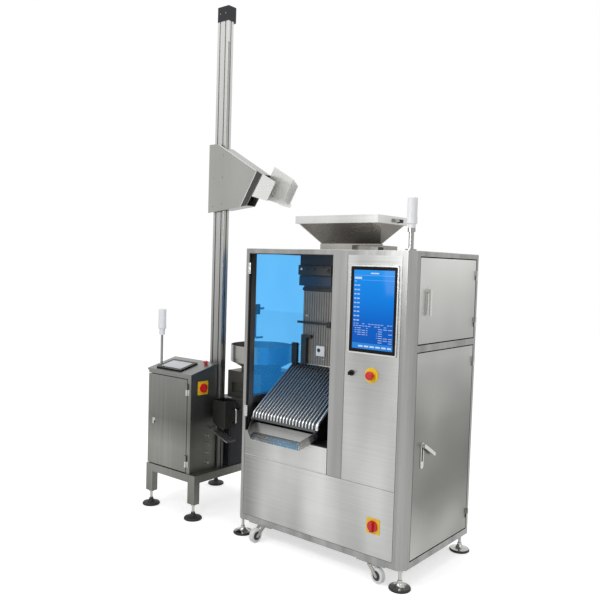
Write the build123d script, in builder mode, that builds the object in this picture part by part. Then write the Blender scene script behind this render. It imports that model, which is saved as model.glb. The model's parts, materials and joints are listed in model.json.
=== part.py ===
from build123d import *
import os
from math import atan2, cos, degrees, radians, sin, tan

os.makedirs("parts", exist_ok=True)

# A counting and weighing cabinet with its bucket hoist and vibrating bowl, in millimetres.
# While the pieces are drawn, x runs from the cabinet's left side, y from its front and z from the floor.

# Cabinet
body_z = 93.5
cab_w = 1075.0
cab_d = 676.0
cab_h = 1500.0
plate = 3.0
panel = 20.0
seam = 1.5
post_left = 51.0
post_right = 59.0
post_front = 60.0
post_rear = 21.0
post_rear_left = 50.0
corner_cut = 31.0
rail_deep = 40.0
top_band = 25.0
base_band = 32.0
mid_band = 32.0
opening_w = 567.0
centre_post_w = 90.0
apron_h = 133.0
lower_panel_top = body_z + 366.0
apron_top = lower_panel_top + seam + apron_h
sill_low = body_z + 640.0
sill_top = body_z + 678.0
window_t = 8.0
cab_top = body_z + cab_h
under_roof = cab_top - plate
on_floor = body_z + plate
rail_top_low = cab_top - top_band
base_top = body_z + base_band
opening_right = post_left + opening_w
centre_post_right = opening_right + centre_post_w
panel_right = cab_w - post_right
rear_face = cab_d - plate

# Screen and controls on the front
screen_x = 863.0
screen_z = cab_top - 285.5
screen_w = 274.0
screen_h = 425.0
screen_lit_w = 229.0
screen_lit_h = 379.0
screen_pocket = 12.0
screen_proud = 2.0
screen_glass_depth = 1.5
key_x = 752.0
key_ring_r = 14.5
key_ring_h = 6.0
key_barrel_r = 9.0
key_barrel_h = 5.0
key_t = 2.4
key_long = 22.0
controls_z = cab_top - 598.0
stop_x = 867.0
stop_plate_d = 75.0
stop_head_d = 41.0
stop_stem_r = 14.0
stop_h = 27.0
main_switch_x = 905.0
main_switch_z = body_z + 180.0
switch_plate_w = 75.0
switch_knob_d = 54.0
switch_knob_h = 9.0
switch_grip_h = 13.0
label_plate_t = 2.5
label_corner = 6.0

# Latch on the outside of the blue window, with its cranked rod
latch_out = 22.0
latch_front = 100.0
latch_w = 53.0
latch_low = cab_top - 369.0
latch_h = 58.0
latch_rod_r = 6.0
latch_rod_out = 12.0
latch_rod_y = 128.0
latch_rod_low = cab_top - 502.0
latch_rod_reach = 62.0
latch_rod_bend = 14.0
latch_bar_out = 18.0
latch_bar_t = 12.0
latch_bar_long = 40.0
latch_bar_low = cab_top - 342.0

# Doors on the right side
door_gap = 5.0
door_t = 22.0
door_front = 65.0
door_rear = 650.0
mid_rail_low = cab_top - 473.0
mid_rail_top = mid_rail_low + mid_band
hinge_r = 6.0
hinge_leaf_t = 3.0
hinge_leaf_w = 20.0
hinge_split = 0.3
hinge_y = 652.5
side_hinge_h = 50.0
upper_hinges_z = (mid_rail_top + 61.0, cab_top - 136.0)
lower_hinges_z = (body_z + 92.0, mid_rail_low - 115.0)
bay_hinge_x = 64.0
bay_hinge_h = 60.0
bay_hinges_z = (lower_panel_top + 214.0, cab_top - 137.0)
handle_plate_w = 28.0
handle_plate_h = 126.0
handle_plate_t = 4.0
handle_y = 140.0
upper_handle_z = cab_top - 234.0
lower_handle_z = body_z + 528.0
lever_w = 17.0
lever_t = 8.0
lever_long = 128.0
lever_gap = 8.0
lever_angle = -30.0

# Hopper on the roof
hopper_x = 546.0
hopper_y = 242.0
hopper_w = 520.0
hopper_d = 284.0
hopper_rim_h = 40.0
hopper_top = cab_top + 178.0
hopper_cone_h = 100.0
outlet_x = 551.5
outlet_w = 379.0
outlet_d = 33.0
hopper_corner = 30.0
outlet_corner = 12.0
hopper_wall = 2.5
neck_h = 31.0
neck_rear = 400.0
neck_left_w = 210.0
neck_step = 30.0
clamp_base_long = 46.0
clamp_base_w = 20.0
clamp_base_t = 6.0
clamp_grip_long = 70.0
clamp_grip_w = 12.0
clamp_grip_t = 8.0
clamp_grip_shift = 18.0

# Beacons, as bands of radius and height from the foot up
beacon_r = 25.0
beacon_neck_r = 18.0
beacon_foot_r = 26.0
beacon_bevel = 6.0
cab_beacon = (1021.0, 60.0)
cab_beacon_pole_r = 12.0
cab_beacon_pole_h = 88.0
lift_beacon = (-712.0, 40.0)
lift_beacon_pole_r = 7.5
lift_beacon_top = 1214.5
beacon_neck_h = 34.0
beacon_collar_h = 34.0
beacon_cap_h = 92.0
cab_beacon_foot_h = 8.0
lift_beacon_foot_h = 5.0
lift_beacon_foot_r = 21.0
lift_pole_sink = 3.0

# Channel bed, in the slope that falls to the front
bed_left = 78.0
bed_w = 446.0
bed_top_y = 353.0
bed_top_z = body_z + 833.0
bed_low_y = 40.0
bed_low_z = body_z + 606.0
bed_sheet = 2.5
channel_count = 20
channel_first = 88.7
channel_pitch = 21.75
ridge_w = 9.0
ridge_h = 5.0
roll_r = 26.0
roll_drop = 10.0
side_roll_r = 9.0
strip_h = 12.0
strip_t = 5.0
carrier_t = 6.0
carrier_inset = 22.0
carrier_short = 25.0

# Discharge tray
tray_lip_left = 149.0
tray_x = 315.5
tray_lip_y = -60.0
tray_lip_z = body_z + 473.0
tray_crest_y = -75.0
tray_crest_z = body_z + 519.0
tray_bend_y = -0.5
tray_seat = 0.3
tray_back_y = 30.0
tray_back_z = body_z + 546.0
tray_peak_y = 11.0
tray_peak_z = body_z + 570.0
tray_spread_y = 0.323
tray_spread_z = 0.3445
tray_sheet = 2.0

# Drop chute behind the bed
drop_front = 357.0
drop_x = 312.0
drop_w = 324.0
drop_d = 100.0
drop_low = body_z + 850.0
drop_top = cab_top - 231.0
rib_pitch = 17.0
rib_w = 9.0
rib_h = 4.0
head_box_w = 382.0
head_box_low = cab_top - 200.0
head_box_d = 120.0
hook_left = 163.0
hook_w = 36.0
hook_bar_right = 230.0
hook_bar_h = 16.0
hook_front = 26.0
hook_gap = 6.0
hook_low = body_z + 852.0
hook_top = body_z + 1020.0
hook_block_inset = 9.0
hook_block_low = body_z + 900.0

# Feet and casters
foot_r = 53.0
foot_inset = 28.0
foot_stem_r = 8.0
foot_rim_h = 9.0
foot_rim_bevel = 3.0
foot_bell_z = 14.0
foot_cone_h = 44.0
foot_nut_r = 14.0
foot_nut_h = 12.0
wheel_r = 38.0
wheel_edge = 5.0
caster_rear = 60.0
fork_eye_r = 9.0
wheel_w = 26.0
wheel_lift = 3.0
wheel_bore = 5.0
axle_fit = 0.05
caster_x = 180.0
caster_y = 16.0
caster_trail = 45.0
caster_plate_w = 160.0
caster_plate_d = 56.0
caster_plate_t = 6.0
race_r = 22.0
race_h = 4.0
fork_t = 3.0
fork_gap = 2.0
fork_play = 0.3

# Hoist stand
lift_w = 437.0
lift_gap = 305.0
lift_front = -39.0
lift_depth = 600.0
leg_w = 58.0
leg_d = 42.0
leg_z = 90.5
lift_rail_h = 46.0
lift_rail_top = 261.5
rail_seat = 0.3
lift_right = -lift_gap
lift_left = lift_right - lift_w

# Control pedestal
ped_left = -740.0
ped_right = -357.0
ped_front = -33.0
ped_rear = 174.0
ped_front_top = 852.5
ped_rear_top = 902.5
ped_lip = 12.0
ped_over = 5.0
ped_wall = 3.0
ped_flange = 15.0
ped_door_t = 19.0
ped_door_gap = 5.0
ped_door_right = -391.0
ped_door_top = 818.5
ped_door_low = lift_rail_top + ped_door_gap
ped_hinge_x = ped_door_right + ped_door_gap / 2
ped_hinge_h = 68.0
ped_hinges_z = (300.5, 726.5)
touch_w = 222.0
touch_d = 143.0
touch_t = 9.0
touch_x = -577.0
touch_y = 50.0
ped_stop = (-414.0, 135.0)
ped_stop_r = 14.0
ped_stop_stem_r = 10.0
ped_stop_h = 20.0
ped_switch_y = 60.5
ped_switch_z = 764.5
ped_switch_w = 80.0
gland_y = 96.0
glands_z = (312.5, 370.5, 422.5, 472.5)
gland_r = 9.0
low_gland_r = 12.0
gland_nut_long = 9.0
gland_long = 22.0

# Hoist column
col_w = 90.0
col_d = 45.0
col_right = -338.0
col_front = 181.0
col_top = 2943.5
slot_w = 8.0
slot_deep = 10.0
cap_h = 88.0
cap_d = 72.0
strip_front = 2.0
cover_w = 14.0
cover_t = 2.0
cover_low = 653.5
cover_high = 2821.5

# Chute at the head of the column
head_front = 165.0
head_rear = 240.0
head_sheet = 2.5
head_left = -457.0
head_top_z = 2219.5
head_top_x = -376.0
head_low_z = 1810.0
head_tip_x = -24.0
head_tip_z = 2020.0
head_heel_x = -140.0
head_heel_z = 1845.0
head_box_left = -330.0
head_lug_inset = 10.0
head_lug_h = 40.0
head_lugs_z = (1880.0, 2129.5)
spout_slot = 6.0
spout_margin = 60.0
spout_front_cut = 12.0
spout_crown = (-69.0, 2110.0)
spout_fold_top = (149.0, 1989.0)
spout_fold_foot = (85.0, 1875.0)
spout_lip_top = (255.0, 1937.0)
spout_lip_foot = (188.0, 1823.0)
spout_floor_start = (-97.0, 1898.0)
spout_front_top = ((-45.0, 2035.0), (78.0, 1971.0))
spout_front_right = ((13.0, 1858.0), (140.0, 1842.0))

# Bucket on its carriage
carriage_w = 12.0
carriage_gap = 5.0
tongue_short = 10.0
carriage_front = 172.0
carriage_rear = 235.0
carriage_low = 560.0
carriage_top = 690.0
tongue_fit = 0.4
tongue_deep = 8.0
bucket_w = 104.0
bucket_front = 112.0
bucket_rear = 204.0
bucket_top = 693.0
bucket_low = 533.0
bucket_heel_w = 40.0
bucket_heel_h = 30.0
bucket_sheet = 2.5
bucket_bar_y = 184.0
bucket_bar_h = 82.0
bucket_bar_r = 4.0
bucket_bar_out = 18.0
bucket_bar_low = 560.0

# Feed bowl and its bracket on the cabinet
bowl_x = -200.0
bowl_y = 400.0
bowl_r = 190.0
bowl_floor_r = 126.0
bowl_floor_z = 881.5
bowl_wall_z = 915.5
bowl_rim_z = 1015.5
bowl_sheet = 3.0
bowl_base_r = 122.0
bowl_base_h = 23.0
feeder_w = 270.0
feeder_d = 304.0
feeder_low = 694.5
feeder_window_h = 56.0
feeder_window_deep = 20.0
feeder_frame_w = 36.0
gusset_reach = 299.0
gusset_foot = 39.0
gusset_low = 457.5
gusset_t = 3.0

# Drive housing and catch tray
housing_left = -430.0
housing_right = -310.0
housing_front = 250.0
housing_rear = 540.0
housing_top = 684.0
catch_front = 100.0
catch_right = -186.0
catch_high = 525.0
catch_low = 460.0
catch_t = 2.5

# The origin lies on the floor, under the middle of the whole plant
lever_out = handle_plate_t + lever_gap + lever_t
reach_left = lift_left + foot_inset - foot_r
reach_right = max(cab_w + lever_out, cab_w - foot_inset + foot_r)
reach_front = min(tray_crest_y, lift_front - foot_r + 25.0)
reach_rear = cab_d - foot_inset + foot_r
centre = ((reach_left + reach_right) / 2, (reach_front + reach_rear) / 2)


def keep(piece, name):
    """Move a finished piece from the drawing's datum to the plant's origin and write it."""
    placed = Location((-centre[0], -centre[1], 0)) * piece.part
    placed.label = name
    export_step(placed, f"parts/{name}.step")


def block(x, y, z, mode=Mode.ADD):
    """A plain block between two values along each axis, in the piece being built."""
    with Locations(((x[0] + x[1]) / 2, (y[0] + y[1]) / 2, (z[0] + z[1]) / 2)):
        Box(x[1] - x[0], y[1] - y[0], z[1] - z[0], mode=mode)


def outline(plane, *points):
    """A flat face with straight sides on a plane."""
    with BuildSketch(plane) as face:
        with BuildLine():
            Polyline(*points, close=True)
        make_face()
    return face.sketch


def side_plane(x):
    """The plane at one x, with its own x along +Y and its own y up."""
    return Plane.YZ.offset(x)


def front_plane(y):
    """The plane at one y, with its own x along +X and its own y up; it faces the front."""
    return Plane.XZ.offset(-y)


def through(first, second, third):
    """The plane through three points."""
    start = Vector(*first)
    normal = (Vector(*second) - start).cross(Vector(*third) - start)
    return Plane(origin=start, z_dir=normal.normalized())


# Cabinet frame

with BuildPart() as frame_posts:
    z_span = (on_floor, under_roof)
    block((0, post_left), (0, post_front), z_span)
    block((panel_right, cab_w), (0, post_front), z_span)
    front_corners = frame_posts.edges().filter_by(Axis.Z).group_by(Axis.Y)[0]
    chamfer([front_corners.sort_by(Axis.X)[0], front_corners.sort_by(Axis.X)[-1]], corner_cut)
    block((0, post_left), (cab_d - post_rear_left, cab_d), z_span)
    block((cab_w - post_left, cab_w), (cab_d - post_rear, cab_d), z_span)
    block((opening_right, centre_post_right), (panel, rail_deep), z_span)
    block((opening_right, centre_post_right), (0, panel), (lower_panel_top + seam, rail_top_low))
keep(frame_posts, "frame_posts")

with BuildPart() as frame_rails:
    for low, high in ((rail_top_low, under_roof), (on_floor, base_top)):
        block((post_left, panel_right), (0, panel), (low, high))
        block((post_left, cab_w - post_left), (rear_face - rail_deep, rear_face), (low, high))
        block((0, rail_deep), (post_front, cab_d - post_rear_left), (low, high))
        block((cab_w - rail_deep, cab_w), (post_front, cab_d - post_rear), (low, high))
    block((cab_w - rail_deep, cab_w), (post_front, cab_d - post_rear), (mid_rail_low, mid_rail_top))
    block((0, rail_deep), (post_front, cab_d - post_rear_left), (sill_low, sill_top))
keep(frame_rails, "frame_rails")

duct_hole = (outlet_x - outlet_w / 2 + plate, neck_rear - plate)

with BuildPart() as roof_plate:
    block((0, cab_w), (0, cab_d), (under_roof, cab_top))
    chamfer(roof_plate.edges().filter_by(Axis.Z).group_by(Axis.Y)[0], corner_cut)
    block(
        (duct_hole[0], duct_hole[0] + neck_left_w - 2 * plate),
        (drop_front, duct_hole[1]),
        (under_roof, cab_top),
        mode=Mode.SUBTRACT,
    )
keep(roof_plate, "roof_plate")

caster_spots = [
    (x, y)
    for x in (caster_x, cab_w - caster_x)
    for y in (caster_y, cab_d - caster_rear)
]
caster_top = body_z - caster_plate_t

with BuildPart() as floor_plate:
    block((0, cab_w), (0, cab_d), (body_z, on_floor))
    chamfer(floor_plate.edges().filter_by(Axis.Z).group_by(Axis.Y)[0], corner_cut)
    for spot in caster_spots:
        middle_y = min(max(spot[1], caster_plate_d / 2), cab_d - caster_plate_d / 2)
        block(
            (spot[0] - caster_plate_w / 2, spot[0] + caster_plate_w / 2),
            (middle_y - caster_plate_d / 2, middle_y + caster_plate_d / 2),
            (caster_top, body_z),
        )
keep(floor_plate, "floor_plate")

with BuildPart() as skin_panels:
    block((post_left, panel_right), (0, panel), (base_top, lower_panel_top))
    block((post_left, opening_right), (0, panel), (lower_panel_top + seam, apron_top))
    block((post_left, cab_w - post_left), (rear_face, cab_d), (on_floor, under_roof))
    block((0, plate), (post_front, cab_d - post_rear_left), (base_top, sill_low))
keep(skin_panels, "skin_panels")

with BuildPart() as side_window:
    block((0, window_t), (post_front, cab_d - post_rear_left), (sill_top, rail_top_low))
keep(side_window, "side_window")

with BuildPart() as window_latch:
    latch_rear = latch_front + latch_w
    block((-latch_out, 0), (latch_front, latch_rear), (latch_low, latch_low + latch_h))
    with BuildLine() as arm:
        FilletPolyline(
            (-latch_rod_out, latch_rod_y, latch_low),
            (-latch_rod_out, latch_rod_y, latch_rod_low),
            (-latch_rod_out, latch_rod_y + latch_rod_reach, latch_rod_low),
            radius=latch_rod_bend,
        )
    with BuildSketch(Plane(origin=arm.line @ 0, z_dir=arm.line % 0)):
        Circle(latch_rod_r)
    sweep(path=arm.line)
    block(
        (-latch_bar_out, latch_bar_t - latch_bar_out),
        (latch_rear, latch_rear + latch_bar_long),
        (latch_bar_low, latch_bar_low + latch_bar_t),
    )
keep(window_latch, "window_latch")

with BuildPart() as bay_divider:
    block((opening_right, opening_right + plate), (rail_deep, rear_face - rail_deep), (on_floor, under_roof))
keep(bay_divider, "bay_divider")

with BuildPart() as bay_deck:
    deck_z = (apron_top - plate, apron_top)
    block((plate, opening_right), (post_front, cab_d - post_rear_left), deck_z)
    block((post_left, opening_right), (panel, rear_face), deck_z)
keep(bay_deck, "bay_deck")

# Screen and controls

with BuildPart() as screen_panel:
    block((centre_post_right, panel_right), (0, panel), (lower_panel_top + seam, rail_top_low))
    block(
        (screen_x - screen_w / 2, screen_x + screen_w / 2),
        (0, screen_pocket),
        (screen_z - screen_h / 2, screen_z + screen_h / 2),
        mode=Mode.SUBTRACT,
    )
keep(screen_panel, "screen_panel")

with BuildPart() as touch_screen:
    screen_play = 0.3
    block(
        (screen_x - screen_w / 2 + screen_play, screen_x + screen_w / 2 - screen_play),
        (-screen_proud, screen_pocket),
        (screen_z - screen_h / 2 + screen_play, screen_z + screen_h / 2 - screen_play),
    )
    block(
        (screen_x - screen_lit_w / 2, screen_x + screen_lit_w / 2),
        (-screen_proud, screen_glass_depth - screen_proud),
        (screen_z - screen_lit_h / 2, screen_z + screen_lit_h / 2),
        mode=Mode.SUBTRACT,
    )
keep(touch_screen, "touch_screen")

with BuildPart() as key_switch:
    with BuildSketch(front_plane(0)):
        with Locations((key_x, controls_z)):
            Circle(key_ring_r)
    extrude(amount=key_ring_h)
    with BuildSketch(front_plane(-key_ring_h)):
        with Locations((key_x, controls_z)):
            Circle(key_barrel_r)
    extrude(amount=key_barrel_h)
    key_back = -key_ring_h - key_barrel_h
    block(
        (key_x - key_t / 2, key_x + key_t / 2),
        (key_back - key_long, key_back),
        (controls_z - key_barrel_r, controls_z + key_barrel_r),
    )
keep(key_switch, "key_switch")

with BuildPart() as yellow_plates:
    with BuildSketch(front_plane(0)):
        with Locations((stop_x, controls_z)):
            Circle(stop_plate_d / 2)
        with Locations((main_switch_x, main_switch_z)):
            RectangleRounded(switch_plate_w, switch_plate_w, label_corner)
    extrude(amount=label_plate_t)
    with BuildSketch(side_plane(ped_right)):
        with Locations((ped_switch_y, ped_switch_z)):
            RectangleRounded(ped_switch_w, ped_switch_w, label_corner)
    extrude(amount=label_plate_t)
keep(yellow_plates, "yellow_plates")


def mushroom(plane, radius, stem, height):
    """A push button turned about the plane's normal: a stem and a domed head."""
    with BuildPart() as button:
        with BuildSketch(plane):
            Circle(stem)
        extrude(amount=height * 0.5)
        with BuildSketch(plane.offset(height * 0.5)):
            Circle(radius)
        extrude(amount=height * 0.5)
        fillet(button.edges().filter_by(GeomType.CIRCLE).sort_by(SortBy.RADIUS)[-1], height * 0.2)
    return button.part


def rotary(plane, radius):
    """A round switch knob with a grip bar across it."""
    with BuildPart() as knob:
        with BuildSketch(plane):
            Circle(radius)
        extrude(amount=switch_knob_h)
        with BuildSketch(plane.offset(switch_knob_h)):
            Rectangle(radius * 0.5, radius * 1.8)
        extrude(amount=switch_grip_h)
    return knob.part


stop_plane = Plane(
    origin=(stop_x, -label_plate_t, controls_z), x_dir=(1, 0, 0), z_dir=(0, -1, 0)
)
main_plane = Plane(
    origin=(main_switch_x, -label_plate_t, main_switch_z), x_dir=(1, 0, 0), z_dir=(0, -1, 0)
)
ped_plane = Plane(
    origin=(ped_right + label_plate_t, ped_switch_y, ped_switch_z), x_dir=(0, 1, 0), z_dir=(1, 0, 0)
)
top_slope = atan2(ped_rear_top - ped_front_top, ped_rear - ped_front)


def on_pedestal(x, y):
    """The plane on the pedestal's sloping top, above one spot, facing up out of the slope."""
    height = ped_front_top + (y - ped_front) * tan(top_slope)
    return Plane(origin=(x, y, height), x_dir=(1, 0, 0), z_dir=(0, -sin(top_slope), cos(top_slope)))


with BuildPart() as red_knobs:
    add(mushroom(stop_plane, stop_head_d / 2, stop_stem_r, stop_h))
    add(mushroom(on_pedestal(*ped_stop), ped_stop_r, ped_stop_stem_r, ped_stop_h))
    add(rotary(main_plane, switch_knob_d / 2))
    add(rotary(ped_plane, switch_knob_d / 2))
keep(red_knobs, "red_knobs")

# Hopper and its neck

rim_low = hopper_top - hopper_rim_h
cone_low = rim_low - hopper_cone_h


def hopper_body(inset, top):
    """The pyramid below the rim band, and the band itself, drawn in by one wall or not at all."""
    lower = Plane.XY.offset(cone_low)
    upper = Plane.XY.offset(rim_low)
    with BuildPart() as body:
        with BuildSketch(lower):
            with Locations((outlet_x, hopper_y)):
                mouth = Rectangle(outlet_w - 2 * inset, outlet_d - 2 * inset)
            chamfer(mouth.vertices(), outlet_corner - inset)
        with BuildSketch(upper):
            with Locations((hopper_x, hopper_y)):
                ring = Rectangle(hopper_w - 2 * inset, hopper_d - 2 * inset)
            chamfer(ring.vertices(), hopper_corner - inset)
        loft()
        with BuildSketch(upper):
            with Locations((hopper_x, hopper_y)):
                Rectangle(hopper_w - 2 * inset, hopper_d - 2 * inset)
        extrude(amount=top - rim_low)
    return body.part


with BuildPart() as hopper:
    add(hopper_body(0, hopper_top))
    add(hopper_body(hopper_wall, hopper_top + 1.0), mode=Mode.SUBTRACT)
keep(hopper, "hopper")

neck_left = outlet_x - outlet_w / 2
neck_right = outlet_x + outlet_w / 2
neck_front = hopper_y - outlet_d / 2
neck_top = cab_top + neck_h

with BuildPart() as hopper_neck:
    neck_face = outline(
        Plane.XY.offset(cab_top),
        (neck_left, neck_front),
        (neck_left + neck_left_w, neck_front),
        (neck_left + neck_left_w, neck_front + neck_step),
        (neck_right, neck_front + neck_step),
        (neck_right, neck_rear),
        (neck_left, neck_rear),
    )
    extrude(neck_face, amount=neck_h)
    offset(amount=-plate, openings=hopper_neck.faces().sort_by(Axis.Z)[0])
    with BuildSketch(Plane.XY.offset(neck_top)):
        with Locations((outlet_x, hopper_y)):
            Rectangle(outlet_w, outlet_d)
    extrude(amount=cone_low - neck_top)
    block(
        (neck_left + plate, neck_left + neck_left_w - plate),
        (neck_front + plate, neck_front + outlet_d - plate),
        (neck_top - plate, cone_low),
        mode=Mode.SUBTRACT,
    )
keep(hopper_neck, "hopper_neck")


def toggle_clamp(x, y, z, turn):
    """A small over-centre clamp: base plate, link and black grip, lying along one direction."""
    base = Plane(origin=(x, y, z), x_dir=(cos(turn), sin(turn), 0), z_dir=(-sin(turn), cos(turn), 0))
    with BuildPart() as clamp:
        with BuildSketch(base):
            Rectangle(clamp_base_long, clamp_base_w)
        extrude(amount=-clamp_base_t)
        with BuildSketch(base.offset(-clamp_base_t)):
            with Locations((clamp_grip_shift, 0)):
                Rectangle(clamp_grip_long, clamp_grip_w)
        extrude(amount=-clamp_grip_t)
    return clamp.part


with BuildPart() as hopper_clamps:
    add(toggle_clamp(neck_right - 45.0, neck_front + neck_step, cab_top + 12.0, 0))
    add(toggle_clamp(hopper_x + hopper_w / 2, hopper_y + 20.0, rim_low + 18.0, radians(90)))
keep(hopper_clamps, "hopper_clamps")


def beacon(x, y, z, pole_r, pole_h):
    """A signal lamp turned about its pole: pole, neck, collar with a lower bevel, and rounded cap."""
    neck_z = z + pole_h
    collar_z = neck_z + beacon_neck_h
    cap_z = collar_z + beacon_collar_h
    end_z = cap_z + beacon_cap_h
    with BuildPart() as lamp:
        with BuildSketch(front_plane(y)):
            with BuildLine():
                Polyline(
                    (x, z),
                    (x + pole_r, z),
                    (x + pole_r, neck_z),
                    (x + beacon_neck_r, neck_z),
                    (x + beacon_neck_r, collar_z),
                    (x + beacon_r, collar_z + beacon_bevel),
                    (x + beacon_r, cap_z),
                    (x + beacon_r - 1.0, cap_z),
                    (x + beacon_r - 1.0, end_z),
                    (x, end_z),
                    close=True,
                )
            make_face()
        revolve(axis=Axis((x, y, z), (0, 0, 1)))
        fillet(lamp.edges().filter_by(GeomType.CIRCLE).sort_by(Axis.Z)[-1], beacon_bevel)
    return lamp.part


lift_beacon_plane = on_pedestal(*lift_beacon)
lift_pole_z = lift_beacon_plane.origin.Z + lift_pole_sink
lift_pole_h = lift_beacon_top - beacon_cap_h - beacon_collar_h - beacon_neck_h - lift_pole_z

with BuildPart() as beacons:
    with BuildSketch(Plane.XY.offset(cab_top)):
        with Locations(cab_beacon):
            Circle(beacon_foot_r)
    extrude(amount=cab_beacon_foot_h)
    with BuildSketch(lift_beacon_plane):
        Circle(lift_beacon_foot_r)
    extrude(amount=lift_beacon_foot_h)
    pole_z = cab_top + cab_beacon_foot_h
    add(beacon(*cab_beacon, pole_z, cab_beacon_pole_r, cab_beacon_pole_h - cab_beacon_foot_h))
    add(beacon(*lift_beacon, lift_pole_z, lift_beacon_pole_r, lift_pole_h))
keep(beacons, "beacons")

# Channel bed: everything follows one path, down the slope and round the front edge

bed_slope = atan2(bed_top_z - bed_low_z, bed_top_y - bed_low_y)


def bed_path(x):
    """The line that the channel floor follows at one x, from its top down to its rolled front edge."""
    with BuildLine(side_plane(x)) as path:
        slope = Line((bed_top_y, bed_top_z), (bed_low_y, bed_low_z))
        roll = CenterArc(
            (bed_low_y + roll_r * sin(bed_slope), bed_low_z - roll_r * cos(bed_slope)),
            roll_r,
            90 + degrees(bed_slope),
            90 - degrees(bed_slope),
        )
        Line(roll @ 1, roll @ 1 - Vector(0, 0, roll_drop))
    return path.line


bed_middle = bed_left + bed_w / 2
bed_start = Plane(
    origin=(bed_middle, bed_top_y, bed_top_z),
    x_dir=(1, 0, 0),
    z_dir=(0, -cos(bed_slope), -sin(bed_slope)),
)
roll_front_y = bed_low_y + roll_r * sin(bed_slope) - roll_r
roll_front_z = bed_low_z - roll_r * cos(bed_slope) - roll_drop

with BuildPart() as channel_bed:
    with BuildSketch(bed_start):
        with Locations((0, -bed_sheet / 2)):
            Rectangle(bed_w, bed_sheet)
    sweep(path=bed_path(bed_middle))
    block(
        (bed_left, bed_left + bed_w),
        (roll_front_y + bed_sheet - strip_t - ridge_w, roll_front_y + bed_sheet),
        (roll_front_z - strip_h, roll_front_z),
    )
keep(channel_bed, "channel_bed")

with BuildPart() as channel_ridges:
    with BuildSketch(bed_start):
        with Locations((channel_first - bed_middle, 0)):
            with GridLocations(channel_pitch, 1, channel_count, 1, align=(Align.MIN, Align.CENTER)):
                with Locations((0, ridge_h / 2)):
                    Rectangle(ridge_w, ridge_h)
                with Locations((0, ridge_h)):
                    Circle(ridge_w / 2)
        with Locations((bed_w / 2 + side_roll_r, side_roll_r - bed_sheet)):
            Circle(side_roll_r)
    sweep(path=bed_path(bed_middle))
keep(channel_ridges, "channel_ridges")

with BuildPart() as bed_carriers:
    under = bed_sheet / cos(bed_slope)
    near_y = bed_low_y + carrier_short
    far_y = bed_top_y - carrier_short
    for x in (bed_left + carrier_inset, bed_middle, bed_left + bed_w - carrier_inset):
        face = outline(
            side_plane(x - carrier_t / 2),
            (near_y, apron_top),
            (far_y, apron_top),
            (far_y, bed_low_z + (far_y - bed_low_y) * tan(bed_slope) - under),
            (near_y, bed_low_z + (near_y - bed_low_y) * tan(bed_slope) - under),
        )
        extrude(face, amount=carrier_t)
keep(bed_carriers, "bed_carriers")

# Discharge tray: one sheet-metal shell whose cheeks spread to the rear and upwards

tray_floor = (
    (tray_lip_y, tray_lip_z),
    (tray_bend_y, apron_top + tray_seat),
    (tray_back_y, tray_back_z),
)


def cheek_plane(side):
    """The outer plane of one cheek; side is -1 on the left and 1 on the right."""
    half = tray_x - tray_lip_left
    lip = (tray_x + side * half, tray_lip_y, tray_lip_z)
    normal = Vector(side, -tray_spread_y, -tray_spread_z)
    return Plane(origin=lip, z_dir=normal.normalized())


with BuildPart() as discharge_tray:
    profile = outline(
        side_plane(tray_x - opening_w / 2),
        *tray_floor,
        (tray_peak_y, tray_peak_z),
        (tray_crest_y, tray_crest_z),
    )
    extrude(profile, amount=opening_w)
    split(bisect_by=cheek_plane(-1), keep=Keep.BOTTOM)
    split(bisect_by=cheek_plane(1), keep=Keep.BOTTOM)
    faces = discharge_tray.faces()
    open_faces = [
        face
        for face in faces
        if face.normal_at().Z > 0.3 or face.normal_at().Y < -0.9
    ]
    offset(amount=-tray_sheet, openings=open_faces)
keep(discharge_tray, "discharge_tray")

# Drop chute with its ribbed front, and the dark box that feeds it

with BuildPart() as drop_chute:
    block(
        (drop_x - drop_w / 2, drop_x + drop_w / 2),
        (drop_front + rib_h, drop_front + drop_d),
        (drop_low, drop_top),
    )
    rib_count = int(drop_w / rib_pitch)
    with BuildSketch(Plane.XY.offset(drop_low)):
        with Locations((drop_x, drop_front + rib_h / 2)):
            with GridLocations(rib_pitch, 1, rib_count, 1):
                Rectangle(rib_w, rib_h)
    extrude(amount=drop_top - drop_low)
    box_x = (drop_x - head_box_w / 2, drop_x + head_box_w / 2)
    block(box_x, (drop_front, drop_front + head_box_d), (head_box_low, under_roof))
    block(
        (drop_x - drop_w / 2, drop_x + drop_w / 2),
        (drop_front + rib_h, drop_front + drop_d),
        (drop_top, head_box_low),
    )
keep(drop_chute, "drop_chute")

with BuildPart() as hook_handle:
    hook_y = (drop_front - hook_front, drop_front - hook_gap)
    hook_right = hook_left + hook_w
    block((hook_left, hook_right), hook_y, (hook_low, hook_top))
    block((hook_left, hook_bar_right), hook_y, (hook_top - hook_bar_h, hook_top))
    block(
        (hook_left + hook_block_inset, hook_right - hook_block_inset),
        (drop_front - hook_gap, drop_front),
        (hook_block_low, hook_top - hook_bar_h),
    )
keep(hook_handle, "hook_handle")

# Levelling feet: four under the cabinet, four under the hoist stand

foot_spots = [
    (x, y, body_z)
    for x in (foot_inset, cab_w - foot_inset)
    for y in (foot_inset, cab_d - foot_inset)
]
lift_rear = lift_front + lift_depth
foot_spots += [
    (x, y, leg_z)
    for x in (lift_left + foot_inset, lift_right - foot_inset)
    for y in (lift_front + leg_d / 2, lift_rear - leg_d / 2)
]


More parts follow.
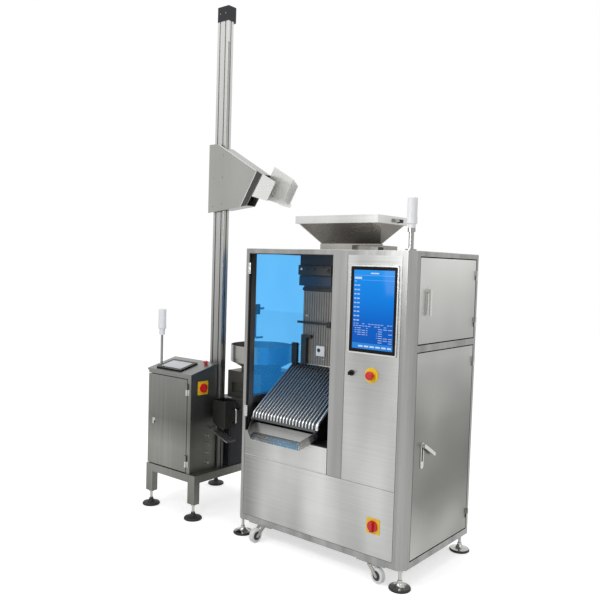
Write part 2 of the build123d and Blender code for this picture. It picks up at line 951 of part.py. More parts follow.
def levelling_foot(x, y, top):
    """A rubber-shod bell turned about its threaded stem, with a lock nut under the frame."""
    bell_edge = (x + foot_r - foot_rim_bevel, foot_bell_z)
    bell_top = (x + foot_stem_r + foot_rim_bevel, foot_cone_h)
    with BuildPart() as foot:
        with BuildSketch(front_plane(y)):
            with BuildLine():
                Polyline(
                    (x, 0),
                    (x + foot_r - foot_rim_bevel, 0),
                    (x + foot_r, foot_rim_bevel),
                    (x + foot_r, foot_rim_h),
                    bell_edge,
                )
                Bezier(
                    bell_edge,
                    (x + foot_r * 0.4, foot_bell_z * 1.2),
                    (x + foot_stem_r * 1.6, foot_cone_h * 0.6),
                    bell_top,
                )
                Polyline(bell_top, (x + foot_stem_r, foot_cone_h + 2.0), (x + foot_stem_r, top), (x, top), (x, 0))
            make_face()
        revolve(axis=Axis((x, y, 0), (0, 0, 1)))
        with BuildSketch(Plane.XY.offset(top - foot_nut_h)):
            with Locations((x, y)):
                RegularPolygon(foot_nut_r, 6)
        extrude(amount=foot_nut_h)
    return foot.part


with BuildPart() as levelling_feet:
    for spot in foot_spots:
        add(levelling_foot(*spot))
keep(levelling_feet, "levelling_feet")

# Casters: a trailing fork on a race, and a wheel between its legs

wheel_z = wheel_lift + wheel_r
race_low = caster_top - race_h
crown_low = race_low - fork_t
caster_names = ("front_left", "rear_left", "front_right", "rear_right")
caster_turns = (-95.0, 150.0, -12.0, 40.0)


def caster_frame(spot, turn):
    """Unit vectors along the trail and along the axle, and the wheel's centre."""
    trail = Vector(cos(radians(turn)), sin(radians(turn)), 0)
    axle = trail.cross(Vector(0, 0, 1))
    hub = Vector(spot[0], spot[1], wheel_z) + trail * caster_trail
    return trail, axle, hub


for name, spot, turn in zip(caster_names, caster_spots, caster_turns):
    trail, axle, hub = caster_frame(spot, turn)
    half = wheel_w / 2 + fork_gap

    with BuildPart() as fork:
        with BuildSketch(Plane.XY.offset(crown_low)):
            with Locations((spot[0], spot[1])):
                Circle(race_r)
        extrude(amount=fork_t + race_h - fork_play)
        for side in (-1, 1):
            leg_foot = hub + axle * (side * half)
            leg_plane = Plane(origin=leg_foot, x_dir=trail, z_dir=axle)
            with BuildSketch(leg_plane):
                Circle(fork_eye_r)
                with Locations((-caster_trail, crown_low - wheel_z + fork_t / 2)):
                    Rectangle(race_r * 1.4, fork_t)
                make_hull()
            extrude(amount=side * fork_t)
        with BuildSketch(Plane(origin=hub - axle * half, x_dir=trail, z_dir=axle)):
            Circle(wheel_bore)
        extrude(amount=2 * half)
    keep(fork, f"caster_fork_{name}")

    with BuildPart() as wheel:
        with BuildSketch(Plane(origin=hub - axle * (wheel_w / 2), x_dir=trail, z_dir=axle)):
            Circle(wheel_r)
            Circle(wheel_bore + axle_fit, mode=Mode.SUBTRACT)
        extrude(amount=wheel_w)
        fillet(wheel.edges().filter_by(GeomType.CIRCLE).group_by(SortBy.RADIUS)[-1], wheel_edge)
    keep(wheel, f"caster_wheel_{name}")

# Hinges: each has a leaf and a knuckle below on the frame, and the same above on the door


def hinge_half(x, y, low, high, toward, outward):
    """A knuckle about a vertical line, with a leaf lying on the face behind it."""
    if outward[0]:
        leaf_x = (x - hinge_r, x - hinge_r + hinge_leaf_t)
        leaf_y = sorted((y, y + toward[1] * hinge_leaf_w))
    else:
        leaf_x = sorted((x, x + toward[0] * hinge_leaf_w))
        leaf_y = (y + hinge_r - hinge_leaf_t, y + hinge_r)
    with BuildPart() as half:
        with BuildSketch(Plane.XY.offset(low)):
            with Locations((x, y)):
                Circle(hinge_r)
        extrude(amount=high - low)
        block(leaf_x, leaf_y, (low, high))
    return half.part


side_axis_x = cab_w + hinge_r
ped_axis_y = ped_front - hinge_r
outward_right = (1, 0)
outward_front = (0, -1)

with BuildPart() as frame_hinges:
    for low in (*lower_hinges_z, *upper_hinges_z):
        middle = low + side_hinge_h / 2
        add(hinge_half(side_axis_x, hinge_y, low, middle, (0, 1), outward_right))
    for low in ped_hinges_z:
        middle = low + ped_hinge_h / 2
        add(hinge_half(ped_hinge_x, ped_axis_y, low, middle, (1, 0), outward_front))
    for low in bay_hinges_z:
        add(hinge_half(bay_hinge_x, -hinge_r, low, low + bay_hinge_h, (-1, 0), outward_front))
keep(frame_hinges, "frame_hinges")


def side_door(low, high, hinges_z):
    """One flush door of the cabinet's right side, with its halves of the hinges."""
    with BuildPart() as door:
        block((cab_w - door_t, cab_w), (door_front, door_rear), (low, high))
        fillet(door.faces().sort_by(Axis.X)[-1].edges(), 2.0)
        for foot in hinges_z:
            middle = foot + side_hinge_h / 2 + hinge_split
            half = hinge_half(side_axis_x, hinge_y, middle, foot + side_hinge_h, (0, -1), outward_right)
            add(half)
    return door


upper_door = side_door(mid_rail_top + door_gap, rail_top_low - door_gap, upper_hinges_z)
keep(upper_door, "upper_door")
lower_door = side_door(base_top + door_gap, mid_rail_low - door_gap, lower_hinges_z)
keep(lower_door, "lower_door")

lever_x = cab_w + handle_plate_t + lever_gap
pivot_up = handle_plate_h / 2 - handle_plate_w / 2


def lever(middle_z, angle):
    """A flat lever on its pivot boss, turned about the pivot from level by an angle in degrees."""
    pivot = Plane(
        origin=(cab_w + handle_plate_t, handle_y, middle_z + pivot_up),
        x_dir=(0, cos(radians(angle)), sin(radians(angle))),
        z_dir=(1, 0, 0),
    )
    with BuildPart() as arm:
        with BuildSketch(pivot):
            Circle(handle_plate_w * 0.35)
        extrude(amount=lever_gap)
        with BuildSketch(pivot.offset(lever_gap)):
            with Locations((lever_long / 2 - lever_w / 2, 0)):
                SlotOverall(lever_long, lever_w)
        extrude(amount=lever_t)
    return arm.part


def handle_plate(middle_z):
    """The round-ended base plate of a door handle."""
    with BuildPart() as base:
        with BuildSketch(side_plane(cab_w)):
            with Locations((handle_y, middle_z)):
                SlotOverall(handle_plate_h, handle_plate_w, rotation=90)
        extrude(amount=handle_plate_t)
    return base.part


with BuildPart() as upper_handle:
    add(handle_plate(upper_handle_z))
    add(lever(upper_handle_z, -90.0))
keep(upper_handle, "upper_handle")

with BuildPart() as lower_handle:
    add(handle_plate(lower_handle_z))
keep(lower_handle, "lower_handle")

with BuildPart() as lower_lever:
    turned = lever(lower_handle_z, lever_angle)
    add(turned)
    split(bisect_by=side_plane(cab_w + handle_plate_t + hinge_split), keep=Keep.TOP)
keep(lower_lever, "lower_lever")

# Hoist stand

with BuildPart() as lift_legs:
    for x in (lift_left, lift_right - leg_w):
        for y in (lift_front, lift_rear - leg_d):
            block((x, x + leg_w), (y, y + leg_d), (leg_z, lift_rail_top))
keep(lift_legs, "lift_legs")

with BuildPart() as lift_rails:
    rail_z = (lift_rail_top - lift_rail_h, lift_rail_top)
    inner_x = (lift_left + leg_w, lift_right - leg_w)
    for y in (lift_front, lift_rear - leg_d):
        block(inner_x, (y, y + leg_d), rail_z)
    for x in (lift_left, lift_right - leg_w):
        block((x, x + leg_w), (lift_front + leg_d, lift_rear - leg_d), rail_z)
    block((inner_x[0] + rail_seat, inner_x[1] - rail_seat), (col_front, col_front + col_d), rail_z)
keep(lift_rails, "lift_rails")

# Control pedestal

with BuildPart() as pedestal_body:
    side = outline(
        side_plane(ped_left),
        (ped_front, lift_rail_top),
        (ped_rear, lift_rail_top),
        (ped_rear, ped_rear_top - ped_lip),
        (ped_front, ped_front_top - ped_lip),
    )
    extrude(side, amount=ped_right - ped_left)
    lip = outline(
        side_plane(ped_left - ped_over),
        (ped_front - ped_over, ped_front_top - ped_lip - ped_over * tan(top_slope)),
        (ped_rear + ped_over, ped_rear_top - ped_lip + ped_over * tan(top_slope)),
        (ped_rear + ped_over, ped_rear_top + ped_over * tan(top_slope)),
        (ped_front - ped_over, ped_front_top - ped_over * tan(top_slope)),
    )
    extrude(lip, amount=ped_right - ped_left + 2 * ped_over)
    block(
        (ped_left, ped_door_right + ped_door_gap),
        (ped_front, ped_front + ped_door_t + ped_door_gap),
        (lift_rail_top, ped_door_top + ped_door_gap),
        mode=Mode.SUBTRACT,
    )
    block(
        (ped_left + ped_flange, ped_door_right - ped_flange),
        (ped_front, ped_rear - ped_wall),
        (ped_door_low + ped_flange, ped_door_top - ped_flange),
        mode=Mode.SUBTRACT,
    )
keep(pedestal_body, "pedestal_body")

with BuildPart() as pedestal_door:
    block((ped_left, ped_door_right), (ped_front, ped_front + ped_door_t), (ped_door_low, ped_door_top))
    for foot in ped_hinges_z:
        middle = foot + ped_hinge_h / 2 + hinge_split
        add(hinge_half(ped_hinge_x, ped_axis_y, middle, foot + ped_hinge_h, (-1, 0), outward_front))
keep(pedestal_door, "pedestal_door")

with BuildPart() as control_panel:
    with BuildSketch(on_pedestal(touch_x, touch_y)):
        RectangleRounded(touch_w, touch_d, 6.0)
    extrude(amount=touch_t)
keep(control_panel, "control_panel")

with BuildPart() as cable_glands:
    for z in glands_z:
        size = low_gland_r if z == glands_z[0] else gland_r
        with BuildSketch(side_plane(ped_right)):
            with Locations((gland_y, z)):
                RegularPolygon(size, 6)
        extrude(amount=gland_nut_long)
        with BuildSketch(side_plane(ped_right + gland_nut_long)):
            with Locations((gland_y, z)):
                Circle(size * 0.8)
        extrude(amount=gland_long - gland_nut_long)
keep(cable_glands, "cable_glands")

# Column

col_left = col_right - col_w
col_rear = col_front + col_d
slot_y = col_front + col_d / 2

with BuildPart() as column:
    with BuildSketch(Plane.XY.offset(lift_rail_top)):
        with Locations(((col_left + col_right) / 2, slot_y)):
            RectangleRounded(col_w, col_d, 2.0)
            with Locations(
                (-col_w / 4, col_d / 2),
                (col_w / 4, col_d / 2),
                (-col_w / 4, -col_d / 2),
                (col_w / 4, -col_d / 2),
            ):
                Rectangle(slot_w, 2 * slot_deep, mode=Mode.SUBTRACT)
            with Locations((-col_w / 2, 0), (col_w / 2, 0)):
                Rectangle(2 * slot_deep, slot_w, mode=Mode.SUBTRACT)
    extrude(amount=col_top - lift_rail_top)
keep(column, "column")

with BuildPart() as column_cap:
    block((col_left, col_right), (col_front, col_front + cap_d), (col_top, col_top + cap_h))
    fillet(column_cap.edges().filter_by(Axis.Z).group_by(Axis.Y)[-1], 14.0)
keep(column_cap, "column_cap")

with BuildPart() as cover_strip:
    strip_y = (col_front + strip_front, col_front + strip_front + cover_w)
    block((col_right, col_right + cover_t), strip_y, (cover_low, cover_high))
keep(cover_strip, "cover_strip")

# Chute at the column's head

top_fall = (head_top_z - head_tip_z) / (head_tip_x - head_top_x)
head_low_rise = (head_heel_z - head_low_z) / (head_heel_x - head_left)
box_top_z = head_top_z - (head_box_left - head_top_x) * top_fall
box_low_z = head_low_z + (head_box_left - head_left) * head_low_rise

with BuildPart() as chute_head:
    chute = outline(
        front_plane(head_front),
        (head_box_left, box_low_z),
        (head_heel_x, head_heel_z),
        (head_tip_x, head_tip_z),
        (head_box_left, box_top_z),
    )
    extrude(chute, amount=head_front - head_rear)
    chute_mouth = chute_head.faces().sort_by(Axis((0, 0, 0), (1, 0, -0.65)))[-1]
    offset(amount=-head_sheet, openings=chute_mouth)
    front_sheet = outline(
        front_plane(head_front),
        (head_left, head_low_z),
        (head_box_left, box_low_z),
        (head_box_left, box_top_z),
        (head_top_x, head_top_z),
        (head_left, head_top_z),
    )
    extrude(front_sheet, amount=-head_sheet)
    for z in head_lugs_z:
        lug_x = (col_left + head_lug_inset, col_right - head_lug_inset)
        block(lug_x, (head_front + head_sheet, col_front), (z, z + head_lug_h))
keep(chute_head, "chute_head")


def spout_plane(*spots):
    """The plane through three spots, each given as (x, z) and whether it lies on the rear wall."""
    points = [(x, head_rear if rear else head_front, z) for (x, z), rear in spots]
    return through(*points)


head_tip = (head_tip_x, head_tip_z)
head_heel = (head_heel_x, head_heel_z)
spout_top = spout_plane((spout_crown, True), (spout_fold_top, True), (spout_crown, False))
spout_floor = spout_plane((spout_lip_foot, False), (spout_fold_foot, True), (spout_floor_start, False))
spout_bend = spout_plane((spout_fold_top, True), (spout_fold_foot, True), (spout_lip_top, False))
spout_start = spout_plane((head_tip, False), (head_heel, False), (head_tip, True))

with BuildPart() as chute_spout:
    spout_x = (head_heel_x - spout_margin, spout_lip_top[0] + spout_margin)
    spout_z = (spout_lip_foot[1] - spout_margin, spout_crown[1] + spout_margin)
    block(spout_x, (head_front, head_rear), spout_z)
    inside = Vector((spout_fold_top[0] + head_tip_x) / 2, (head_front + head_rear) / 2, spout_fold_top[1] - 50)
    for cut in (spout_top, spout_floor, spout_bend, spout_start):
        side = Keep.TOP if cut.to_local_coords(inside).Z > 0 else Keep.BOTTOM
        split(bisect_by=cut, keep=side)
    ends = [
        face
        for face in chute_spout.faces()
        if abs(spout_top.to_local_coords(face.center()).Z) < 0.01
        or abs(spout_start.to_local_coords(face.center()).Z) < 0.01
    ]
    offset(amount=-head_sheet, openings=ends)
    front_cut = front_plane(head_front - 1.0)
    window = outline(
        front_cut,
        *spout_front_top,
        *spout_front_right,
        (spout_x[1], spout_front_right[1][1]),
        (spout_x[1], spout_z[1]),
        (spout_front_top[0][0], spout_z[1]),
    )
    extrude(window, amount=-spout_front_cut, mode=Mode.SUBTRACT)
    slot = outline(
        front_cut,
        (head_tip_x - 1.0, spout_z[1]),
        (head_tip_x - 1.0, head_tip_z),
        (head_heel_x - 1.0, head_heel_z),
        (head_heel_x + spout_slot, head_heel_z),
        (head_tip_x + spout_slot, head_tip_z),
        (head_tip_x + spout_slot, spout_z[1]),
    )
    extrude(slot, amount=-spout_front_cut, mode=Mode.SUBTRACT)
keep(chute_spout, "chute_spout")

# Bucket and carriage

tongue_y = (slot_y - slot_w / 2 + tongue_fit, slot_y + slot_w / 2 - tongue_fit)
tongue_z = (carriage_low + tongue_short, carriage_top - tongue_short)
carriage_left = col_right + cover_t + carriage_gap
bucket_left = carriage_left + carriage_w
bucket_right = bucket_left + bucket_w

with BuildPart() as lift_carriage:
    block((carriage_left, bucket_left), (carriage_front, carriage_rear), (carriage_low, carriage_top))
    block((col_right - tongue_deep, carriage_left), tongue_y, tongue_z)
keep(lift_carriage, "lift_carriage")

with BuildPart() as hoist_bucket:
    bucket_side = outline(
        front_plane(bucket_front),
        (bucket_left, bucket_low + bucket_heel_h),
        (bucket_left + bucket_heel_w, bucket_low),
        (bucket_right, bucket_low),
        (bucket_right, bucket_top),
        (bucket_left, bucket_top),
    )
    extrude(bucket_side, amount=bucket_front - bucket_rear)
    offset(amount=-bucket_sheet, openings=hoist_bucket.faces().sort_by(Axis.Z)[-1])
    with BuildLine() as bow:
        FilletPolyline(
            (bucket_right, bucket_bar_y, bucket_bar_low),
            (bucket_right + bucket_bar_out, bucket_bar_y, bucket_bar_low),
            (bucket_right + bucket_bar_out, bucket_bar_y, bucket_bar_low + bucket_bar_h),
            (bucket_right, bucket_bar_y, bucket_bar_low + bucket_bar_h),
            radius=2 * bucket_bar_r,
        )
    with BuildSketch(Plane(origin=bow.line @ 0, z_dir=bow.line % 0)):
        Circle(bucket_bar_r)
    sweep(path=bow.line)
keep(hoist_bucket, "hoist_bucket")

# Feed bowl, carried by a bracket on the cabinet's left side

with BuildPart() as feed_bowl:
    with BuildSketch(front_plane(bowl_y)):
        with BuildLine():
            Polyline(
                (bowl_x, bowl_floor_z),
                (bowl_x + bowl_floor_r, bowl_floor_z),
                (bowl_x + bowl_r, bowl_wall_z),
                (bowl_x + bowl_r, bowl_rim_z),
                (bowl_x + bowl_r - bowl_sheet, bowl_rim_z),
                (bowl_x + bowl_r - bowl_sheet, bowl_wall_z + 2.0),
                (bowl_x + bowl_floor_r, bowl_floor_z + bowl_sheet + 1.0),
                (bowl_x, bowl_floor_z + bowl_sheet + 12.0),
                close=True,
            )
        make_face()
    revolve(axis=Axis((bowl_x, bowl_y, 0), (0, 0, 1)))
keep(feed_bowl, "feed_bowl")

feeder_top = bowl_floor_z - bowl_base_h
feeder_x = (bowl_x - feeder_w / 2, bowl_x + feeder_w / 2)
feeder_y = (bowl_y - feeder_d / 2, bowl_y + feeder_d / 2)

with BuildPart() as feeder_box:
    block(feeder_x, feeder_y, (feeder_low, feeder_top))
    window_low = feeder_low + feeder_frame_w
    block(
        (feeder_x[0] + feeder_frame_w, feeder_x[1] - feeder_frame_w),
        (feeder_y[0], feeder_y[0] + feeder_window_deep),
        (window_low, window_low + feeder_window_h),
        mode=Mode.SUBTRACT,
    )
    with BuildSketch(Plane.XY.offset(feeder_top)):
        with Locations((bowl_x, bowl_y)):
            Circle(bowl_base_r)
    extrude(amount=bowl_base_h)
keep(feeder_box, "feeder_box")

with BuildPart() as feeder_bracket:
    for y in (feeder_y[0], feeder_y[1] - gusset_t):
        gusset = outline(
            front_plane(y),
            (-gusset_reach, feeder_low),
            (-gusset_reach, feeder_low - gusset_foot),
            (-gusset_t, gusset_low),
            (-gusset_t, feeder_low),
        )
        extrude(gusset, amount=-gusset_t)
    block((-gusset_t, 0), feeder_y, (gusset_low, feeder_low))
keep(feeder_bracket, "feeder_bracket")

with BuildPart() as drive_housing:
    block((housing_left, housing_right), (housing_front, housing_rear), (lift_rail_top, housing_top))
    fillet(drive_housing.edges().filter_by(Axis.Z), 8.0)
keep(drive_housing, "drive_housing")

with BuildPart() as catch_tray:
    slide = outline(
        front_plane(catch_front),
        (ped_right, catch_high),
        (catch_right, catch_low),
        (catch_right, catch_low - catch_t),
        (ped_right, catch_high - catch_t),
    )
    extrude(slide, amount=catch_front - ped_rear)
keep(catch_tray, "catch_tray")
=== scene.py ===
# %% [markdown]
# A counting and weighing cabinet with its bucket hoist and bowl feeder.
# The solid model comes in first as a fixed frame.

# %% Load the machine
import json
from math import atan2, cos, pi, radians, sin

import bmesh
import bpy
from mathutils import Matrix, Vector


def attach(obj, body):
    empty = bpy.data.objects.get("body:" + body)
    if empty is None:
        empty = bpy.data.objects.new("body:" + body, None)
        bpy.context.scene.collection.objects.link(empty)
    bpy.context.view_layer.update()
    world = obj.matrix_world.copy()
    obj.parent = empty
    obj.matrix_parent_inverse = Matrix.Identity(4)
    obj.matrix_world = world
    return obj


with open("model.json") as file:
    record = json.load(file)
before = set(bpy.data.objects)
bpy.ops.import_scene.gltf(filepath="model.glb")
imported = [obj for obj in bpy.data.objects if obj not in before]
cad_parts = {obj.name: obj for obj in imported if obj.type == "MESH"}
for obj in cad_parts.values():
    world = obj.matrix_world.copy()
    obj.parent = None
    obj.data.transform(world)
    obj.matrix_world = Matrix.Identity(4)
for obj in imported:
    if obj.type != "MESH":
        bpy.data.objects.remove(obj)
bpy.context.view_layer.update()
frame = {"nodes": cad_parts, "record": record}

# %% [markdown]
# The workshop drawing of this machine counts millimetres from the cabinet's left front corner
# on the floor. One small function turns such a spot into the frame's metres, so every size
# below can be read as it would be on the drawing. Heights in the cabinet are counted from its
# underside, which stands on casters and feet.

# %% Drawing millimetres to metres
DRAWING_MIDDLE = (166.5, 313.0)
BODY = 93.5


def at(x, y, z):
    return Vector(((x - DRAWING_MIDDLE[0]) / 1000, (y - DRAWING_MIDDLE[1]) / 1000, z / 1000))


print("front left corner of the cabinet", at(0, 0, BODY))

# %% [markdown]
# The camera stands where a photographer would: to the right of the machine, at eye height.
# Its three directions were found by fitting the cabinet's edges, so they are given as
# a small matrix. Its columns point right, up and backwards.

# %% Camera
FOCAL_LENGTH = 42.31
FILM_WIDTH = 36.0


def link_object(name, data):
    """A new object in the scene, at the origin."""
    made = bpy.data.objects.new(name, data)
    bpy.context.scene.collection.objects.link(made)
    return made


sight = bpy.data.cameras.new("camera")
sight.lens = FOCAL_LENGTH
sight.sensor_width = FILM_WIDTH
camera = link_object("camera", sight)
turned = Matrix((
    (0.776663, -0.054735, 0.627533),
    (0.629211, 0.020288, -0.776970),
    (0.029796, 0.998295, 0.050197),
)).to_4x4()
camera.matrix_world = Matrix.Translation((2.52827, -3.13673, 1.51421)) @ turned
bpy.context.scene.camera = camera
bpy.context.scene.view_settings.view_transform = "Standard"
print("camera at", camera.location)

# %% [markdown]
# Shader maths reads better as plain sums than as a list of nodes. A Wire holds one output
# socket, and Python's operators on it add Math nodes. A Finish is one material being written:
# its method `node` adds any other kind of node.

# %% Shader maths in Python


class Wire:
    """One output socket, with Python's operators turned into Math nodes."""

    def __init__(self, finish, socket):
        self.finish = finish
        self.socket = socket

    def math(self, operation, *values):
        return self.finish.node("ShaderNodeMath", {"operation": operation}, dict(enumerate(values)))

    def __add__(self, other):
        return self.math("ADD", self, other)

    __radd__ = __add__

    def __sub__(self, other):
        return self.math("SUBTRACT", self, other)

    def __rsub__(self, other):
        return self.math("SUBTRACT", other, self)

    def __mul__(self, other):
        return self.math("MULTIPLY", self, other)

    __rmul__ = __mul__

    def __truediv__(self, other):
        return self.math("DIVIDE", self, other)

    def __rtruediv__(self, other):
        return self.math("DIVIDE", other, self)

    def __mod__(self, other):
        return self.math("FLOORED_MODULO", self, other)

    def __gt__(self, other):
        return self.math("GREATER_THAN", self, other)

    def __lt__(self, other):
        return self.math("LESS_THAN", self, other)

    def __abs__(self):
        return self.math("ABSOLUTE", self)


def rgb(red, green, blue):
    """A display colour of 0 to 255 as the linear colour that a socket takes."""
    levels = [value / 255 for value in (red, green, blue)]
    linear = [v / 12.92 if v <= 0.04045 else ((v + 0.055) / 1.055) ** 2.4 for v in levels]
    return (*linear, 1.0)


def toned(colour, share):
    """A colour times a share: darker below 1, and lighter above it, up to white."""
    return (*[min(1.0, value * share) for value in colour[:3]], 1.0)


class Finish:
    """One material being written."""

    def __init__(self, name, **sockets):
        self.material = bpy.data.materials.new(name)
        self.material.use_nodes = True
        self.tree = self.material.node_tree
        self.shader = self.tree.nodes["Principled BSDF"]
        for key, value in sockets.items():
            self.set(key.replace("_", " "), value)
        self.place = self.node("ShaderNodeTexCoord", out="Object")
        self.axes = [
            self.node("ShaderNodeSeparateXYZ", sockets={0: self.place}, out=k) for k in range(3)]

    def node(self, kind, settings=None, sockets=None, out=0):
        made = self.tree.nodes.new(kind)
        for key, value in (settings or {}).items():
            if key == "stops":
                ramp = made.color_ramp
                while len(ramp.elements) < len(value):
                    ramp.elements.new(0.5)
                for element, (spot, colour) in zip(ramp.elements, value):
                    element.position = spot
                    element.color = colour
            else:
                setattr(made, key, value)
        for key, value in (sockets or {}).items():
            self.feed(made.inputs[key], value)
        return Wire(self, made.outputs[out])

    def feed(self, socket, value):
        if isinstance(value, Wire):
            self.tree.links.new(value.socket, socket)
        else:
            socket.default_value = value

    def set(self, name, value):
        self.feed(self.shader.inputs[name], value)
        return self

    def mix(self, factor, first, second):
        return self.node(
            "ShaderNodeMix", {"data_type": "RGBA"}, {0: factor, 6: first, 7: second}, out=2)

    def noise(self, stretch, detail=3.0, rough=0.55):
        """Cloudy noise whose cells are 1 / stretch metres along each axis."""
        scaled = self.node(
            "ShaderNodeVectorMath", {"operation": "MULTIPLY"}, {0: self.place, 1: stretch})
        return self.node("ShaderNodeTexNoise", sockets={
            "Vector": scaled, "Scale": 1.0, "Detail": detail, "Roughness": rough})

    def ramp(self, value, *stops):
        return self.node("ShaderNodeValToRGB", {"stops": stops}, {0: value})

    def bump(self, height, strength, distance=0.001):
        return self.set("Normal", self.node("ShaderNodeBump", sockets={
            "Strength": strength, "Distance": distance, "Height": height}))


def between(value, low, high):
    """1 where the value lies between two limits, 0 elsewhere."""
    return (value > low) * (value < high)


print("shader helpers are ready")

# %% [markdown]
# Stainless sheet is the machine's main finish. Real sheet is brushed in one direction, so it
# has long thin streaks, and its broad surface mirrors the room as soft light and dark zones.
# Two noises are stretched along the brush for the streaks, and a third, very large one paints
# the zones into the colour as painted reflection. A tall sheet mirrors other parts of the room
# at its top than at its foot, so there a ramp of the height paints this reflection in place of
# the one colour.

# %% Brushed steels
FINE_STREAKS, BROAD_STREAKS = (700.0, 5.0), (90.0, 1.2)


def height_colour(finish, stops):
    """A colour ramp up the machine, from stops of drawing height and colour."""
    low, high = stops[0][0], stops[-1][0]
    share = (finish.axes[2] - low / 1000) / ((high - low) / 1000)
    return finish.ramp(share, *[((z - low) / (high - low), colour) for z, colour in stops])


def streaks(finish, pitch, brush, detail):
    """Noise stretched along the brush. Its pitch is the cells on a metre, across and along."""
    crosswise, lengthwise = pitch
    return finish.noise([lengthwise if axis == brush else crosswise for axis in "xyz"], detail)


def brushed(name, colour, brush, rough=0.34, metal=0.9, streak=0.22, cloud=0.5,
            bands=(2.6, 2.6, 0.6)):
    """Sheet brushed along one axis, of one colour or of stops of height and colour.

    The bands say how many light and dark zones fall on a metre."""
    # The zones, scaled by the cloud, are painted reflection of the room, put into the colour.
    finish = Finish(name, Metallic=metal)
    fine = streaks(finish, FINE_STREAKS, brush, 4.0)
    broad = streaks(finish, BROAD_STREAKS, brush, 3.0)
    zones = finish.noise(bands, 1.5)
    smudge = finish.noise((9.0, 9.0, 7.0), 4.0, 0.62)
    tone = 1.0 + (fine - 0.5) * streak + (broad - 0.5) * streak
    tone = tone + (zones - 0.5) * cloud + (smudge - 0.5) * 0.07
    if isinstance(colour[0], tuple):
        base = height_colour(finish, colour)
        dark = finish.mix(0.5, base, rgb(20, 20, 18))
        light = finish.mix(0.42, base, rgb(255, 255, 252))
    else:
        base, dark, light = colour, toned(colour, 0.45), toned(colour, 1.55)
    low = finish.mix(tone * 2.0 - 1.0, dark, base)
    finish.set("Base Color", finish.mix(tone * 2.0 - 2.0, low, light))
    finish.set("Roughness", rough + (broad - 0.5) * 0.12 + (smudge - 0.5) * 0.16)
    return finish.bump(fine + broad * 0.4, 0.09, 0.0004)


front_steel = brushed("front_sheet", rgb(170, 171, 169), "x", cloud=2.2, bands=(3.4, 3.4, 0.7))
post_steel = brushed("post_sheet", rgb(152, 152, 150), "z", cloud=0.9, bands=(13.0, 13.0, 0.4))
side_steel = brushed("side_sheet", (
    (90, rgb(146, 146, 142)), (420, rgb(124, 124, 120)), (760, rgb(140, 140, 136)),
    (1080, rgb(192, 192, 189)), (1160, rgb(178, 178, 175)), (1560, rgb(200, 200, 197)),
), "z", streak=0.06, cloud=1.6, bands=(1.3, 1.3, 1.6))
column_steel = brushed("column_profile", (
    (250, rgb(118, 118, 116)), (1300, rgb(158, 158, 156)), (2100, rgb(190, 190, 188)),
    (2950, rgb(214, 214, 212)),
), "z")
stand_steel = brushed("stand_sheet", (
    (90, rgb(118, 118, 113)), (400, rgb(136, 136, 131)), (560, rgb(104, 104, 100)),
    (900, rgb(140, 140, 137)),
), "z")
rim_steel = brushed("bright_sheet", rgb(202, 202, 199), "x", rough=0.26)
# The tray's ramp is painted light and shade: a painted highlight on its flatter front lip and
# painted shade on its steep back section.
tray_steel = brushed("tray_sheet", (
    (560, rgb(196, 197, 195)), (600, rgb(150, 151, 149)), (645, rgb(96, 97, 95)),
    (670, rgb(150, 151, 149)),
), "x", rough=0.26, cloud=0.6)
hopper_steel = brushed("hopper_sheet", (
    (BODY + 1500, rgb(150, 147, 142)), (BODY + 1560, rgb(154, 150, 144)),
    (BODY + 1634, rgb(176, 171, 165)), (BODY + 1640, rgb(206, 207, 204)),
    (BODY + 1680, rgb(214, 215, 212)),
), "x", rough=0.26, streak=0.08, cloud=1.2)
chute_steel = brushed("chute_sheet", rgb(162, 162, 159), "z", rough=0.3, streak=0.1)
spout_steel = brushed("spout_sheet", rgb(226, 226, 223), "x", rough=0.24, metal=0.4, streak=0.1)
bowl_steel = brushed("bowl_sheet", rgb(166, 164, 158), "z", rough=0.24)
dark_steel = brushed("inner_sheet", rgb(74, 74, 72), "z", rough=0.4, metal=0.8)
print("steels", [m.name for m in bpy.data.materials if m.name.endswith("sheet")])

# %% [markdown]
# Moulded plastics have a fine grain rather than streaks: a tight noise lifts the surface
# by some hundredths of a millimetre, and a softer one changes colour and gloss a little.

# %% Plastics, rubber and paint


def moulded(name, colour, rough=0.45, grain=0.25, shift=0.12, **sockets):
    finish = Finish(name, **sockets)
    cloud = finish.noise((14.0, 14.0, 14.0), 4.0)
    speck = finish.noise((1400.0, 1400.0, 1400.0), 2.0)
    finish.set("Base Color", finish.mix(cloud, toned(colour, 1 - 2 * shift), colour))
    finish.set("Roughness", rough + (cloud - 0.5) * 0.22)
    return finish.bump(speck, grain, 0.0003)


black_plastic = moulded("black_moulding", rgb(34, 34, 36), 0.42)
rubber_black = moulded("rubber_black", rgb(24, 24, 25), 0.55, 0.4)
bezel_black = moulded("bezel_black", rgb(14, 14, 15), 0.24, 0.05, Specular_IOR_Level=0.14)
red_plastic = moulded("red_moulding", rgb(206, 32, 38), 0.28, 0.1)
yellow_plastic = moulded("yellow_moulding", rgb(247, 201, 30), 0.36, 0.15)
white_plastic = moulded("white_moulding", rgb(226, 227, 228), 0.35, 0.1, 0.06)
dark_paint = moulded("dark_paint", rgb(38, 40, 44), 0.38, 0.35, Metallic=0.4)
blue_paint = moulded("blue_black_panel", rgb(36, 58, 84), 0.35, 0.2)
print("mouldings", black_plastic.material.name, bezel_black.material.name)

# %% [markdown]
# Some solids carry two finishes on one node, such as a levelling foot's steel bell on its
# rubber shoe, or a lamp's steel pole under its white cap. A mask made from the height picks
# the finish, so that one material dresses the whole node.

# %% Two finishes by height
HOIST_EDGE = -270
BUCKET_END = -202.8
FEEDER_LID = 858.5


